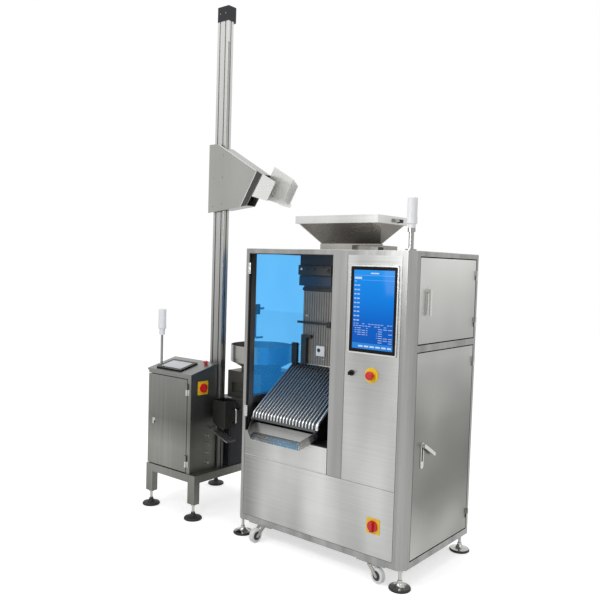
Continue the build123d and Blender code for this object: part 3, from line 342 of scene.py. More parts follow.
def split_finish(name, mask_of, low, high, low_values=(1.0, 0.2), high_values=(0.0, 0.4)):
    """One material with one colour, metalness and roughness below a mask and another above it."""
    finish = Finish(name)
    mask = mask_of(finish)
    cloud = finish.noise((30.0, 30.0, 30.0), 4.0)
    low_tone = finish.mix(cloud, toned(low, 0.72), low)
    high_tone = finish.mix(cloud, toned(high, 0.86), high)
    metal, rough = [below + mask * (over - below) for below, over in zip(low_values, high_values)]
    finish.set("Base Color", finish.mix(mask, low_tone, high_tone))
    finish.set("Metallic", metal)
    finish.set("Roughness", rough + (cloud - 0.5) * 0.1)
    return finish.bump(cloud, 0.05, 0.0005)


def above(finish, cabinet_z, hoist_z):
    """1 above one height on the cabinet and another on the hoist."""
    hoist = finish.axes[0] < at(HOIST_EDGE, 0, 0).x
    return finish.axes[2] > hoist * (hoist_z / 1000) + (1 - hoist) * (cabinet_z / 1000)


lamp_finish = split_finish(
    "lamp_on_pole", lambda f: above(f, BODY + 1606, 1054),
    rgb(160, 160, 158), rgb(238, 239, 241))
foot_finish = split_finish(
    "foot_bell_on_shoe", lambda f: 1 - above(f, 14, 43),
    rgb(196, 196, 192), rgb(28, 28, 28), (1.0, 0.18), (0.0, 0.6))
drop_finish = split_finish(
    "drop_chute_ribs", lambda f: above(f, BODY + 1270, 0),
    rgb(150, 146, 140), rgb(62, 67, 74), (0.7, 0.42), (0.4, 0.4))
bucket_finish = split_finish(
    "bucket_and_bar", lambda f: f.axes[0] > at(BUCKET_END, 0, 0).x,
    rgb(52, 53, 50), rgb(214, 214, 210), (0.7, 0.4), (1.0, 0.2))
feeder_finish = split_finish(
    "feeder_body", lambda f: f.axes[2] > FEEDER_LID / 1000,
    rgb(104, 103, 98), rgb(30, 30, 30), (0.8, 0.38), (0.1, 0.5))
print("split finishes", lamp_finish.material.name, foot_finish.material.name)

# %% [markdown]
# The bed is the machine's most telling part: twenty bright rods with channels between them.
# The rods mirror white light where they roll over the front edge, and the dark blue bay
# further up, so the colour runs from bright to blue-black along the slope.

# %% The bed's polished steel
BED_FRONT, BED_DEPTH = 18, 335


def into_bed(finish):
    """0 at the bed's front edge and 1 at its top, from the depth into the machine."""
    return (finish.axes[1] - at(0, BED_FRONT, 0).y) / (BED_DEPTH / 1000)


bed_finish = Finish("bed_polish", Metallic=0.85)
shine = bed_finish.noise((60.0, 9.0, 9.0), 4.0)
bed_tone = bed_finish.ramp(
    into_bed(bed_finish), (0.0, rgb(244, 244, 242)), (0.1, rgb(226, 226, 224)),
    (0.34, rgb(206, 208, 210)), (0.72, rgb(170, 174, 180)), (1.0, rgb(104, 112, 124)))
bed_finish.set("Base Color", bed_finish.mix(shine, bed_tone, rgb(198, 202, 208)))
bed_finish.set("Roughness", 0.14 + shine * 0.16)
bed_finish.bump(shine, 0.1, 0.0006)

# The channel floors darken deeper into the bay: that ramp is painted shade, and the grit noise is
# their own grain.
floor_finish = Finish("channel_floor", Metallic=0.85)
grit = floor_finish.noise((500.0, 500.0, 500.0), 3.0)
channel_shade_tone = floor_finish.ramp(
    into_bed(floor_finish), (0.0, rgb(84, 86, 86)), (0.3, rgb(44, 48, 52)), (1.0, rgb(14, 18, 24)))
floor_finish.set("Base Color", floor_finish.mix(grit * 0.3, channel_shade_tone, rgb(130, 136, 142)))
floor_finish.set("Roughness", 0.26 + grit * 0.2)
floor_finish.bump(grit, 0.3, 0.0006)
print("bed finishes", bed_finish.material.name, floor_finish.material.name)

# %% [markdown]
# The left side is a sheet of blue acrylic. It lets light through, so it is a clear plastic
# with a tint instead of a painted panel: the bowl behind it then shows as a darker shape.

# %% Blue acrylic
acrylic = Finish("blue_acrylic", Transmission_Weight=0.85, IOR=1.2)
haze = acrylic.noise((3.0, 3.0, 2.0), 3.0)
acrylic.set("Roughness", 0.03 + haze * 0.05)
acrylic.set("Base Color", acrylic.mix(haze, rgb(104, 190, 240), rgb(126, 204, 246)))
# The faint blue emission is a painted glow: the sheet is no lamp, and the glow stands in for light
# that comes through it.
acrylic.set("Emission Color", acrylic.mix(haze, rgb(30, 136, 214), rgb(50, 156, 226)))
acrylic.set("Emission Strength", 0.2)
acrylic.bump(acrylic.noise((6.0, 6.0, 6.0), 2.0), 0.04, 0.002)
print("acrylic tint", acrylic.material.name)

# %% [markdown]
# The upright display is lit from behind. Its picture is drawn by the shader on one thin
# plate: a bright bar at the top, a column of short rows, a small table and a tool bar.
# Nothing on it can be read. Rows are stripes of the height, broken up by a coarse random cell.

# %% Display picture
LIT_X = (748.5, 977.5)
LIT_Z = (BODY + 1025.0, BODY + 1404.0)
display = Finish("display_picture", Roughness=0.12, Specular_IOR_Level=0.06,
                 Base_Color=(0.002, 0.003, 0.006, 1.0))
across = (display.axes[0] - at(LIT_X[0], 0, 0).x) / ((LIT_X[1] - LIT_X[0]) / 1000)
up = (display.axes[2] - LIT_Z[0] / 1000) / ((LIT_Z[1] - LIT_Z[0]) / 1000)
sky = display.ramp(
    up, (0.0, rgb(4, 84, 182)), (0.3, rgb(6, 96, 194)), (0.62, rgb(10, 124, 222)),
    (1.0, rgb(20, 142, 236)))


def broken_rows(count, columns, share, seed):
    """Short marks in rows: which cells are filled comes from white noise."""
    row = up * count
    column = across * columns
    cell = display.node("ShaderNodeCombineXYZ", sockets={
        0: column.math("FLOOR", column), 1: row.math("FLOOR", row), 2: seed})
    chance = display.node("ShaderNodeTexWhiteNoise", {"noise_dimensions": "3D"}, {0: cell})
    inside = between(row % 1.0, 0.34, 0.62) * between(column % 1.0, 0.12, 0.9)
    return inside * (chance < share)


def area(x_low, x_high, z_low, z_high):
    """1 in one rectangle of the picture, whose sides are shares of its width and height."""
    return between(across, x_low, x_high) * between(up, z_low, z_high)


# Each row of marks: rows on the picture's height, columns on its width, share of cells that
# are filled, seed, rectangle and brightness.
marks = (area(0.42, 0.62, 0.953, 0.968) + area(0.02, 0.2, 0.885, 0.912)) * 0.8
for rows, columns, filled, seed, rectangle, brightness in (
    (18.0, 12.0, 0.9, 1.0, (0.02, 0.17, 0.33, 0.86), 0.6),
    (36.0, 13.0, 0.8, 2.0, (0.02, 0.98, 0.27, 0.34), 0.55),
    (36.0, 9.0, 0.75, 3.0, (0.06, 0.38, 0.16, 0.27), 0.6),
    (36.0, 8.0, 0.7, 4.0, (0.6, 0.98, 0.08, 0.27), 0.6),
    (14.0, 7.0, 0.75, 5.0, (0.03, 0.97, 0.0, 0.072), 0.8),
):
    cells = broken_rows(rows, columns, filled, seed)
    marks = marks + cells * area(*rectangle) * brightness
rule_lines = area(0.0, 1.0, 0.93, 0.934) + area(0.19, 1.0, 0.872, 0.875)
bars = area(0.0, 1.0, 0.0, 0.075) + area(0.0, 1.0, 0.934, 1.0) * 0.55
picture = display.mix(bars * 0.5, sky, rgb(60, 160, 240))
picture = display.mix(marks + rule_lines * 0.35, picture, rgb(214, 234, 255))
display.set("Emission Color", picture)
display.set("Emission Strength", 1.0)
print("display picture", len(display.tree.nodes), "nodes")

# %% [markdown]
# Each solid now takes its finish. The doors and the right side are darker than the front,
# because they face away from the light and mirror a darker part of the room.

# %% Dress the solids


def dress(finish, *names):
    for name in names:
        for slot in frame["nodes"][name].material_slots:
            slot.material = finish.material


dress(front_steel, "skin_panels", "screen_panel", "roof_plate")
dress(post_steel, "frame_posts", "frame_rails", "floor_plate")
dress(rim_steel, "frame_hinges")
dress(side_steel, "upper_door", "lower_door")
dress(stand_steel, "pedestal_body", "pedestal_door", "lift_legs", "lift_rails")
dress(hopper_steel, "hopper", "hopper_neck")
dress(spout_steel, "chute_spout")
dress(rim_steel, "lower_lever", "upper_handle", "lower_handle", "feeder_bracket")
dress(chute_steel, "chute_head")
dress(tray_steel, "discharge_tray", "catch_tray")
dress(bucket_finish, "hoist_bucket")
dress(bowl_steel, "feed_bowl", "cover_strip", "hopper_clamps", "cable_glands")
dress(dark_steel, "bay_deck", "bay_divider", "bed_carriers", "hook_handle", "lift_carriage")
dress(column_steel, "column")
dress(dark_paint, "column_cap", "drive_housing", "key_switch", "window_latch")
dress(bed_finish, "channel_ridges")
dress(floor_finish, "channel_bed")
dress(acrylic, "side_window")
dress(bezel_black, "touch_screen", "control_panel")
dress(red_plastic, "red_knobs")
dress(yellow_plastic, "yellow_plates")
dress(lamp_finish, "beacons")
dress(foot_finish, "levelling_feet")
dress(drop_finish, "drop_chute")
dress(feeder_finish, "feeder_box")
CORNERS = ("front_left", "rear_left", "front_right", "rear_right")
for corner in CORNERS:
    dress(bowl_steel, f"caster_fork_{corner}")
    dress(white_plastic, f"caster_wheel_{corner}")
print("dressed", len(frame["nodes"]), "solids")

# %% [markdown]
# New pieces are made in mesh code. Every shape goes through the same three steps: draw it in
# drawing millimetres, bevel its edges so that they catch the light, and hand it over to the
# body that it moves with.

# %% Mesh helpers
SHARP_ANGLE = radians(35)


def finish_piece(name, mesh, finish, body="plant"):
    """Turn a bmesh into an object with a finish that rides on one body."""
    bmesh.ops.recalc_face_normals(mesh, faces=mesh.faces)
    data = bpy.data.meshes.new(name)
    mesh.to_mesh(data)
    mesh.free()
    data.materials.append(finish.material)
    piece = link_object(name, data)
    data.shade_smooth()
    data.set_sharp_from_angle(angle=SHARP_ANGLE)
    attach(piece, body)
    return piece


def slab(mesh, x, y, z, edge):
    """A bevelled block between two values along each axis, in drawing millimetres."""
    made = bmesh.ops.create_cube(mesh, size=1.0)["verts"]
    low, high = at(x[0], y[0], z[0]), at(x[1], y[1], z[1])
    for corner in made:
        corner.co = Vector([low[k] if corner.co[k] < 0 else high[k] for k in range(3)])
    edges = list({e for v in made for e in v.link_edges})
    bmesh.ops.bevel(mesh, geom=edges, offset=edge / 1000, segments=2, affect="EDGES", profile=0.6)


def cabinet_blocks(name, finish, *blocks, body="plant"):
    """One piece of slabs: x, y, z and bevel of each, with z from the cabinet's underside."""
    mesh = bmesh.new()
    for x, y, (low, high), edge in blocks:
        slab(mesh, x, y, (BODY + low, BODY + high), edge)
    return finish_piece(name, mesh, finish, body)


def turned_shape(mesh, foot, direction, profile, steps=32):
    """A shape turned about an axis: the profile lists (distance along, radius) in millimetres."""
    facing = Vector(direction).normalized()
    side = facing.orthogonal().normalized()
    other = facing.cross(side)
    rings = []
    for along, radius in profile:
        middle = foot + facing * (along / 1000)
        if radius <= 0:
            rings.append([mesh.verts.new(middle)])
            continue
        ring = []
        for k in range(steps):
            turn = 2 * pi * k / steps
            outwards = side * cos(turn) + other * sin(turn)
            ring.append(mesh.verts.new(middle + outwards * (radius / 1000)))
        rings.append(ring)
    for low, high in zip(rings, rings[1:]):
        for k in range(steps):
            following = (k + 1) % steps
            spots = (low[k % len(low)], low[following % len(low)],
                     high[following % len(high)], high[k % len(high)])
            corners = list(dict.fromkeys(spots))
            if len(corners) > 2:
                mesh.faces.new(corners)


def skirt(mesh, first, second):
    """Faces between two closed loops of as many corners."""
    count = len(first)
    for k in range(count):
        following = (k + 1) % count
        mesh.faces.new((first[k], first[following], second[following], second[k]))


def prism(mesh, outline, front, back):
    """A thin straight-sided plate that faces the front, from its (x, z) corners."""
    rings = [[mesh.verts.new(at(x, y, z)) for x, z in outline] for y in (front, back)]
    mesh.faces.new(rings[0])
    mesh.faces.new(rings[1][::-1])
    skirt(mesh, *rings)
    edges = list({e for ring in rings for v in ring for e in v.link_edges})
    bmesh.ops.bevel(mesh, geom=edges, offset=0.0002, segments=1, affect="EDGES")


def rounded_ring(mesh, plane_y, x, z, width, corner, thick, bevel=0.6, steps=8):
    """A flat rounded frame that faces the front, from its outer edge inwards by a width."""
    def loop(shrink, depth):
        spots = []
        radius = max(corner - shrink, 0.5)
        for sx, sz, start in ((1, 1, 0), (-1, 1, 90), (-1, -1, 180), (1, -1, 270)):
            middle_x = (x[1] - shrink - radius) if sx > 0 else (x[0] + shrink + radius)
            middle_z = (z[1] - shrink - radius) if sz > 0 else (z[0] + shrink + radius)
            for k in range(steps + 1):
                turn = radians(start + 90 * k / steps)
                spot = at(middle_x + radius * cos(turn), depth, middle_z + radius * sin(turn))
                spots.append(mesh.verts.new(spot))
        return spots

    loops = [loop(0, plane_y), loop(bevel, plane_y - thick),
             loop(width - bevel, plane_y - thick), loop(width, plane_y)]
    for first, second in zip(loops, loops[1:] + loops[:1]):
        skirt(mesh, first, second)


print("mesh helpers are ready")

# %% [markdown]
# The display sits in the right front panel: a pale frame, a black rim and the lit glass. The
# black rim is the solid itself, and the frame and the glass lie on its face.

# %% Display
SCREEN_FACE = -1.9
glass = bmesh.new()
slab(glass, LIT_X, (SCREEN_FACE, -0.6), LIT_Z, 0.3)
finish_piece("display_glass", glass, display)
rim = bmesh.new()
rounded_ring(rim, SCREEN_FACE, x=(724.5, 1001.5), z=(BODY + 1000.5, BODY + 1428.5),
             width=8.0, corner=12.0, thick=2.6)
finish_piece("display_frame", rim, rim_steel)
print("display from", LIT_Z[0], "to", LIT_Z[1], "mm above the floor")

# %% [markdown]
# Screws, rivets and hinge pins repeat all over the machine, and each is a small turned head
# on a surface. A Geometry Nodes tree puts one head on each point of a cloud and turns it by
# the point's own "facing" arrow. Its sizes are named inputs, and one function builds it for
# the finish that the heads wear.

# %% Heads on points
DOME_TOP, DOME_HEIGHT = 0.62, 0.4


def head_tree(finish):
    """The tree that puts a domed head on every point, and the names of its size sockets."""
    tree = bpy.data.node_groups.new("heads_on_points", "GeometryNodeTree")
    shape = "NodeSocketGeometry"
    tree.interface.new_socket("Geometry", in_out="INPUT", socket_type=shape)
    sizes = [
        tree.interface.new_socket(name, in_out="INPUT", socket_type=kind).identifier
        for name, kind in (("Radius", "NodeSocketFloat"), ("Height", "NodeSocketFloat"),
                           ("Sides", "NodeSocketInt"))]
    tree.interface.new_socket("Geometry", in_out="OUTPUT", socket_type=shape)

    add = tree.nodes.new
    start, end = add("NodeGroupInput"), add("NodeGroupOutput")

    def share_of(size, factor):
        times = add("ShaderNodeMath")
        times.operation = "MULTIPLY"
        times.inputs[1].default_value = factor
        tree.links.new(start.outputs[size], times.inputs[0])
        return times

    drum = add("GeometryNodeMeshCylinder")
    dome = add("GeometryNodeMeshCone")
    dome.inputs["Side Segments"].default_value = 4
    top_radius = share_of("Radius", DOME_TOP)
    dome_height = share_of("Height", DOME_HEIGHT)
    drum_half = share_of("Height", 0.5)
    lift = add("ShaderNodeCombineXYZ")
    move = add("GeometryNodeTransform")
    joined = add("GeometryNodeJoinGeometry")
    arrow = add("GeometryNodeInputNamedAttribute")
    arrow.data_type = "FLOAT_VECTOR"
    arrow.inputs["Name"].default_value = "facing"
    turn = add("FunctionNodeAlignRotationToVector")
    turn.axis = "Z"
    place = add("GeometryNodeInstanceOnPoints")
    real = add("GeometryNodeRealizeInstances")
    paint = add("GeometryNodeSetMaterial")
    paint.inputs["Material"].default_value = finish.material
    for source, output, target, entry in (
        (start, "Radius", drum, "Radius"),
        (start, "Height", drum, "Depth"),
        (start, "Sides", drum, "Vertices"),
        (start, "Sides", dome, "Vertices"),
        (start, "Radius", dome, "Radius Bottom"),
        (top_radius, 0, dome, "Radius Top"),
        (dome_height, 0, dome, "Depth"),
        (drum_half, 0, lift, 2),
        (dome, "Mesh", move, "Geometry"),
        (lift, 0, move, "Translation"),
        (drum, "Mesh", joined, 0),
        (move, 0, joined, 0),
        (arrow, "Attribute", turn, "Vector"),
        (start, "Geometry", place, "Points"),
        (joined, 0, place, "Instance"),
        (turn, 0, place, "Rotation"),
        (place, 0, real, 0),
        (real, 0, paint, "Geometry"),
        (paint, 0, end, 0),
    ):
        tree.links.new(source.outputs[output], target.inputs[entry])
    return tree, sizes


def heads(name, spots, radius, height, sides, finish, body="plant"):
    """Domed heads at (drawing spot, facing) pairs, as one mesh piece."""
    tree, sockets = head_tree(finish)
    cloud = bpy.data.meshes.new(name + "_points")
    cloud.from_pydata([at(*spot) for spot, _ in spots], [], [])
    facing = cloud.attributes.new("facing", "FLOAT_VECTOR", "POINT")
    facing.data.foreach_set("vector", [value for _, way in spots for value in way])
    holder = link_object(name + "_points", cloud)
    modifier = holder.modifiers.new("heads", "NODES")
    modifier.node_group = tree
    for socket, value in zip(sockets, (radius / 1000, height / 1000, sides)):
        modifier[socket] = value
    view = bpy.context.evaluated_depsgraph_get()
    made = bpy.data.meshes.new_from_object(holder.evaluated_get(view))
    made.name = name
    bpy.data.objects.remove(holder)
    piece = link_object(name, made)
    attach(piece, body)
    print(name, len(spots), "heads,", len(made.polygons), "faces")
    return piece


FRONT, RIGHT = (0, -1, 0), (1, 0, 0)
HINGE_FACE = 1078.2
LOWER_HINGES = (BODY + 92, BODY + 912)
UPPER_HINGES = (BODY + 1120, BODY + 1364)
BAY_HINGES = (BODY + 580, BODY + 1363)


def side_hinge_spots(y, hinges, rises):
    return [((HINGE_FACE, y, low + rise), RIGHT) for low in hinges for rise in rises]


hinge_screw = dict(radius=2.6, height=1.6, sides=12, finish=bowl_steel)
heads("hinge_screws_frame", side_hinge_spots(665, LOWER_HINGES + UPPER_HINGES, (7, 18)),
      **hinge_screw)
heads("hinge_screws_lower", side_hinge_spots(640, LOWER_HINGES, (32, 43)),
      body="lower_door_leaf", **hinge_screw)
heads("hinge_screws_upper", side_hinge_spots(640, UPPER_HINGES, (32, 43)),
      body="upper_door_leaf", **hinge_screw)
bay_screws = [((50, -3.1, low + rise), FRONT) for low in BAY_HINGES for rise in (10, 30, 50)]
heads("bay_hinge_screws", bay_screws, radius=2.6, height=1.4, sides=12, finish=bowl_steel)
head_bolts = [((x, 164.8, z), FRONT) for x, z in (
    (-425, 2190), (-345, 2150), (-425, 1850), (-345, 1862), (-425, 2020), (-345, 2020))]
heads("head_bolts", head_bolts, radius=6.0, height=3.6, sides=6, finish=bowl_steel)
cap_bolts = [((x, 180.8, 2990), FRONT) for x in (-405, -361)]
heads("cap_bolts", cap_bolts, radius=4.5, height=3.0, sides=6, finish=bowl_steel)

# %% [markdown]
# The channel floors are pressed with rows of small dimples that keep flat parts from sticking.
# There are hundreds, so they come from the same tree, with few sides each. Every second
# column is set half a step further up the slope.

# %% Dimples in the channels
CHANNELS, CHANNEL_PITCH, CHANNELS_START = 19, 21.75, 88.7
FLOOR_FRONT, FLOOR_HEIGHT = 40, BODY + 606
DIMPLE_ROWS, DIMPLE_STEP = 33, 11


def channel_middle(channel):
    return CHANNELS_START + CHANNEL_PITCH * (channel + 0.5)


slope = atan2(227, 313)
dimples = []
for channel in range(CHANNELS):
    for row in range(DIMPLE_ROWS):
        for aside, further in ((-2.8, 0), (2.8, DIMPLE_STEP / 2)):
            run = 14 + row * DIMPLE_STEP + further
            spot = (channel_middle(channel) + aside, FLOOR_FRONT + run * cos(slope),
                    FLOOR_HEIGHT + run * sin(slope))
            dimples.append((spot, (0, -sin(slope), cos(slope))))
heads("channel_dimples", dimples, radius=1.7, height=1.0, sides=6, finish=bed_finish)

# %% [markdown]
# The discharge tray's floor is pressed the same way, in wider rows, from its lip back to the
# fold where it meets the cabinet.

# %% Dimples in the tray
TRAY_FRONT, TRAY_LIP = -60, 566.5
TRAY_THICK = 2.1
tray_slope = atan2(594.3 - TRAY_LIP, 59.5)
tray_dimples = []
for row in range(6):
    run = 6 + row * 10
    for column in range(28):
        x = 155 + column * 11.9 + (row % 2) * 5.9
        y = TRAY_FRONT + run * cos(tray_slope) - TRAY_THICK * sin(tray_slope)
        z = TRAY_LIP + run * sin(tray_slope) + TRAY_THICK * cos(tray_slope)
        tray_dimples.append(((x, y, z), (0, -sin(tray_slope), cos(tray_slope))))
heads("tray_dimples", tray_dimples, radius=2.4, height=0.8, sides=8, finish=tray_steel)

# %% [markdown]
# Inside the bay, the drop chute carries a sensor box, a dark blue guard, a black guide bar,
# a small white switch, two large nuts and a bellows. All are simple shapes, each with its own
# place. The bellows is a stack of wide and narrow slabs in turn.

# %% Inside the bay
BUTTON = ((0, 11), (2.5, 11), (3.5, 9.5), (3.5, 0))
BELLOWS_FOLDS, BELLOWS_HEIGHT = 9, 119

cabinet_blocks("sensor_box", dark_steel, ((122, 358), (338, 357), (1362, 1418), 2.0))
# The sensor box's holes are black discs on its face: painted shade inside the holes.
ports = bmesh.new()
for x, z, radius in ((187, 1394, 7.5), (243, 1395, 9.5), (312, 1411, 8.5), (345, 1388, 13)):
    turned_shape(ports, at(x, 338.4, BODY + z), FRONT,
                 ((0, radius), (1.6, radius), (2.2, radius - 1), (2.2, 0)))
finish_piece("sensor_hole_shade", ports, black_plastic)
lens = bmesh.new()
turned_shape(lens, at(146, 338.4, BODY + 1396), FRONT, ((0, 7), (2, 7), (3.5, 5), (4, 0)))
finish_piece("sensor_lamp", lens, white_plastic)
cabinet_blocks("blue_guard", blue_paint, ((121, 353), (350, 356.8), (1301, 1356), 1.5))
cabinet_blocks(
    "guide_bar_and_gap_shade", black_plastic,
    ((123, 355), (340, 352), (1084, 1097), 2.0),
    ((340, 362), (334, 354), (1070, 1103), 4.0),
    # The third slab is painted shade: a black strip laid over a shaded gap, not a part.
    ((150, 362), (349, 360.5), (1273, 1290), 1.5))
cabinet_blocks("white_switch", white_plastic, ((262, 322), (345, 360.5), (905, 963), 2.5))
button = bmesh.new()
turned_shape(button, at(283, 345.2, BODY + 938), FRONT, BUTTON)
finish_piece("switch_window", button, black_plastic)
nuts = [((306, 360.2, BODY + 888), FRONT), ((177, 360.2, BODY + 1128), FRONT)]
heads("chute_screws", nuts, radius=6.5, height=4.5, sides=6, finish=rim_steel)
fold_pitch = BELLOWS_HEIGHT / BELLOWS_FOLDS
bellows = []
for fold in range(BELLOWS_FOLDS):
    low = 848 + fold * fold_pitch
    bellows.append(((88, 134), (331, 356), (low, low + 6.5), 1.8))
    bellows.append(((93, 129), (335, 352), (low + 5.5, low + fold_pitch + 0.5), 1.0))
cabinet_blocks("bellows", black_plastic, *bellows)
print("bellows of", BELLOWS_FOLDS, "folds,", round(fold_pitch, 1), "mm each")

# %% [markdown]
# A comb of dark plates closes the top of the channels, with one tooth over the middle of
# each, and a pale rail lies along it.

# %% Comb at the top of the bed
teeth = [((channel_middle(channel) - 5.2, channel_middle(channel) + 5.2), (341, 354),
          (834, 846), 0.8) for channel in range(CHANNELS)]
cabinet_blocks("channel_comb", black_plastic, ((80, 522), (353.2, 356.8), (818, 848), 0.8), *teeth)
cabinet_blocks("comb_rail", rim_steel, ((80, 400), (352.4, 356.8), (848.3, 853), 0.6))

# %% [markdown]
# Caster wheels show a dark bearing ring round a bright axle cap. These turn with the wheel,
# so each ring pair rides on its own wheel's body.

# %% Caster hubs
HUB_FACE = 0.0128
HUB_RING = ((0, 23.5), (1.0, 23.5), (1.5, 22.5), (1.5, 9), (0, 9))

joints = {joint["name"]: joint for joint in frame["record"]["behaviour"]["joints"]}
for corner in CORNERS:
    joint = joints[f"wheel_turn_{corner}"]
    middle, axle = Vector(joint["pos_m"]), Vector(joint["axis"])
    hub = bmesh.new()
    for way in (1, -1):
        turned_shape(hub, middle + axle * (way * HUB_FACE), axle * way, HUB_RING)
    finish_piece(f"caster_hub_{corner}", hub, black_plastic, f"wheel_{corner}")

# %% [markdown]
# Door furniture: the lower handle has a black slot, and the pedestal a quarter-turn lock.
# The long seams between sheets read as thin dark lines.

# %% Door furniture and seams
SEAM_DEPTH = (-0.5, 0.4)
cabinet_blocks("handle_slot", black_plastic, ((1079.05, 1079.9), (134, 146), (500, 572), 0.3),
               body="lower_door_leaf")
lock = bmesh.new()
turned_shape(lock, at(-685, -32.8, 540), FRONT, BUTTON)
slab(lock, (-690, -680), (-40, -36), (514, 552), 1.5)
finish_piece("pedestal_lock", lock, rim_steel, "pedestal_door_leaf")
seams = [(x, SEAM_DEPTH, z, 0.15) for x, z in (
    ((707.2, 708.8), (367, 1475)), ((617.2, 618.8), (367, 500)), ((1015.2, 1016.8), (34, 1475)),
    ((50.2, 51.8), (34, 500)), ((51, 1016), (31.2, 32.8)), ((51, 1016), (366.2, 367.4)))]
cabinet_blocks("panel_seams", dark_paint, *seams)
print("seams", len(seams))

# %% [markdown]
# Thin sheet edges catch the light, and bright strips laid on them are painted highlights.
# The apron under the bay is folded back along its top and side, with painted highlights along
# the folds. The chute head has a painted highlight on its folded edge, and beyond it a flange in
# dark steel as painted shade. The bay's opening wears a dark rubber gasket, and the hopper's two
# clamps end in rubber grips.

# %% Painted highlights on folds, gasket and grips
HEAD_FACE = 165.3
cabinet_blocks(
    "apron_fold_highlights", rim_steel,
    ((54, 617), (-2.2, -0.2), (368.2, 372.2), 0.7),
    ((611.5, 616.5), (-2.2, -0.2), (372.2, 498), 0.7))
edge_highlights = bmesh.new()
prism(edge_highlights, ((-376, 2218.5), (-63, 2041), (-65.5, 2036.5), (-378.5, 2214)),
      164.3, HEAD_FACE)
prism(edge_highlights, ((-63.5, 2040.5), (-186.5, 1841.5), (-190.5, 1842.5), (-67, 2042.5)),
      164.3, HEAD_FACE)
finish_piece("head_edge_highlights", edge_highlights, spout_steel)
head_band = bmesh.new()
prism(head_band, ((-61.5, 2040), (-26, 2020), (-141, 1846.5), (-185, 1841.7)),
      164.5, HEAD_FACE)
finish_piece("head_shaded_flange", head_band, dark_steel)
cabinet_blocks(
    "opening_gasket", rubber_black,
    ((51.3, 55.3), (1.0, 18.0), (502, 1474), 1.0),
    ((56, 617), (1.0, 18.0), (1470.5, 1474.5), 1.0))
cabinet_blocks(
    "clamp_grips", rubber_black,
    ((810, 823), (286, 317.5), (1647, 1665), 3.0),
    ((724, 751), (238.5, 251), (1503, 1521), 3.0))
print("folds, gasket and grips are in place")

# %% [markdown]
# The hoist's small touch panel lies on the sloping top of the pedestal: a pale screen inside
# the black rim of the solid. Its plane rises to the back at the pedestal's own slope.

# %% Touch panel on the pedestal
TOP_RISE, TOP_DEPTH = 50.0, 207.0
SCREEN_HALF_X, SCREEN_HALF_Y, SCREEN_THICK = 0.088, 0.051, 0.0008

pale_screen = Finish("pale_screen", Roughness=0.2)
# The gleam noise mixes the screen's colour between grey and pale as a painted reflection on its
# glass.
gleam = pale_screen.noise((9.0, 14.0, 9.0), 3.0)
pale_screen.set("Base Color", pale_screen.mix(gleam, rgb(150, 156, 160), rgb(206, 210, 214)))
top_slope = atan2(TOP_RISE, TOP_DEPTH)
panel_up = Vector((0, -sin(top_slope), cos(top_slope)))
panel_back = Vector((0, cos(top_slope), sin(top_slope)))
panel_middle = at(-577, 50, 852.5 + 83 * TOP_RISE / TOP_DEPTH) + panel_up * 0.009
panel = bmesh.new()
under, over = [
    [panel.verts.new(panel_middle + Vector((sx * SCREEN_HALF_X, 0, 0))
                     + panel_back * (sy * SCREEN_HALF_Y) + panel_up * lift)
     for sx, sy in ((-1, -1), (1, -1), (1, 1), (-1, 1))]
    for lift in (0.0, SCREEN_THICK)]
panel.faces.new(over)
panel.faces.new(under[::-1])
skirt(panel, under, over)
bmesh.ops.bevel(panel, geom=list(panel.edges), offset=0.0003, segments=1, affect="EDGES")
finish_piece("pedestal_screen", panel, pale_screen)
print("pedestal screen at", panel_middle)

# %% [markdown]
# The floor is white paper that still keeps the machine's shadow: it shines a little for the
# camera and for metal alone. The room does the same, for glass too, and gives everything else
# a plainer, lower light.

# %% Floor and room
WHITE, BLACK = (1.0, 1.0, 1.0, 1.0), (0.0, 0.0, 0.0, 1.0)
ROOM_LIGHT = 0.55

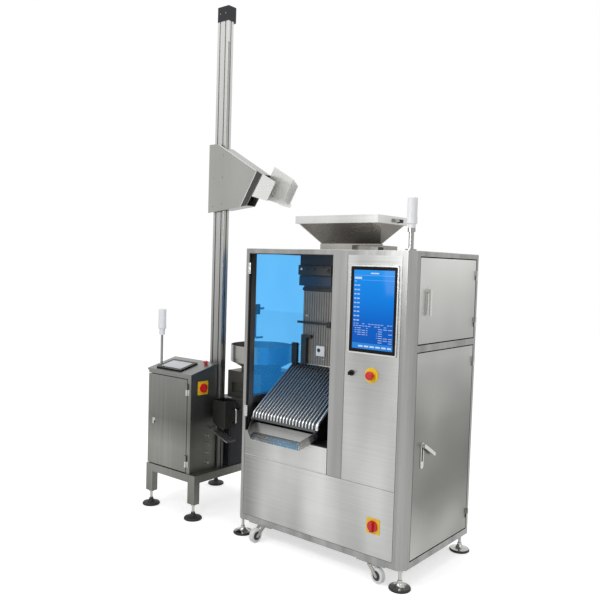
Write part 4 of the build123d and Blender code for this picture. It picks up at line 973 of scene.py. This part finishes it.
ground = bmesh.new()
bmesh.ops.create_grid(ground, x_segments=1, y_segments=1, size=14.0)
ground_data = bpy.data.meshes.new("studio_floor")
ground.to_mesh(ground_data)
ground.free()
floor = link_object("studio_floor", ground_data)
paper = Finish("studio_paper", Roughness=0.9, Base_Color=(0.8, 0.8, 0.8, 1.0))
seen = paper.node("ShaderNodeLightPath", out="Is Camera Ray")
mirrored = paper.node("ShaderNodeLightPath", out="Is Glossy Ray")
paper.set("Emission Color", paper.mix(seen * 0.55 + mirrored * 0.4, BLACK, WHITE))
paper.set("Emission Strength", 1.0)
ground_data.materials.append(paper.material)

room = bpy.data.worlds.new("studio_room")
bpy.context.scene.world = room
room.use_nodes = True
tree = room.node_tree
background = tree.nodes["Background"]
background.inputs["Color"].default_value = WHITE
rays = tree.nodes.new("ShaderNodeLightPath")
shows_white = rays.outputs["Is Camera Ray"]
for kind in ("Is Glossy Ray", "Is Transmission Ray"):
    either = tree.nodes.new("ShaderNodeMath")
    either.operation = "MAXIMUM"
    tree.links.new(shows_white, either.inputs[0])
    tree.links.new(rays.outputs[kind], either.inputs[1])
    shows_white = either.outputs[0]
level = tree.nodes.new("ShaderNodeMapRange")
level.inputs["To Min"].default_value = ROOM_LIGHT
level.inputs["To Max"].default_value = 1.0
tree.links.new(shows_white, level.inputs["Value"])
tree.links.new(level.outputs[0], background.inputs["Strength"])
print("floor and room are white to the camera")

# %% [markdown]
# Four soft lamps light the machine: a wide one from the front left, a smaller one from the
# right, one above, and a faint one that reaches into the open bay.

# %% Lamps


def lamp(name, spot, target, power, width):
    """A square soft lamp at one spot that faces another."""
    light = bpy.data.lights.new(name, "AREA")
    light.energy = power
    light.size = width
    holder = link_object(name, light)
    holder.location = spot
    holder.rotation_euler = (Vector(target) - Vector(spot)).to_track_quat("-Z", "Y").to_euler()


lamp("key_lamp", (-1.2, -4.6, 4.6), (0, 0, 1.0), power=46, width=2.4)
lamp("fill_lamp", (4.6, -1.6, 3.4), (0, 0, 1.0), power=26, width=2.2)
lamp("top_lamp", (0.4, 0.6, 5.2), (0, 0, 0.8), power=60, width=2.6)
lamp("bay_lamp", (0.35, -1.7, 1.7), (0.12, -0.1, 0.85), power=9, width=0.5)
print("lamps", len(bpy.data.lights))
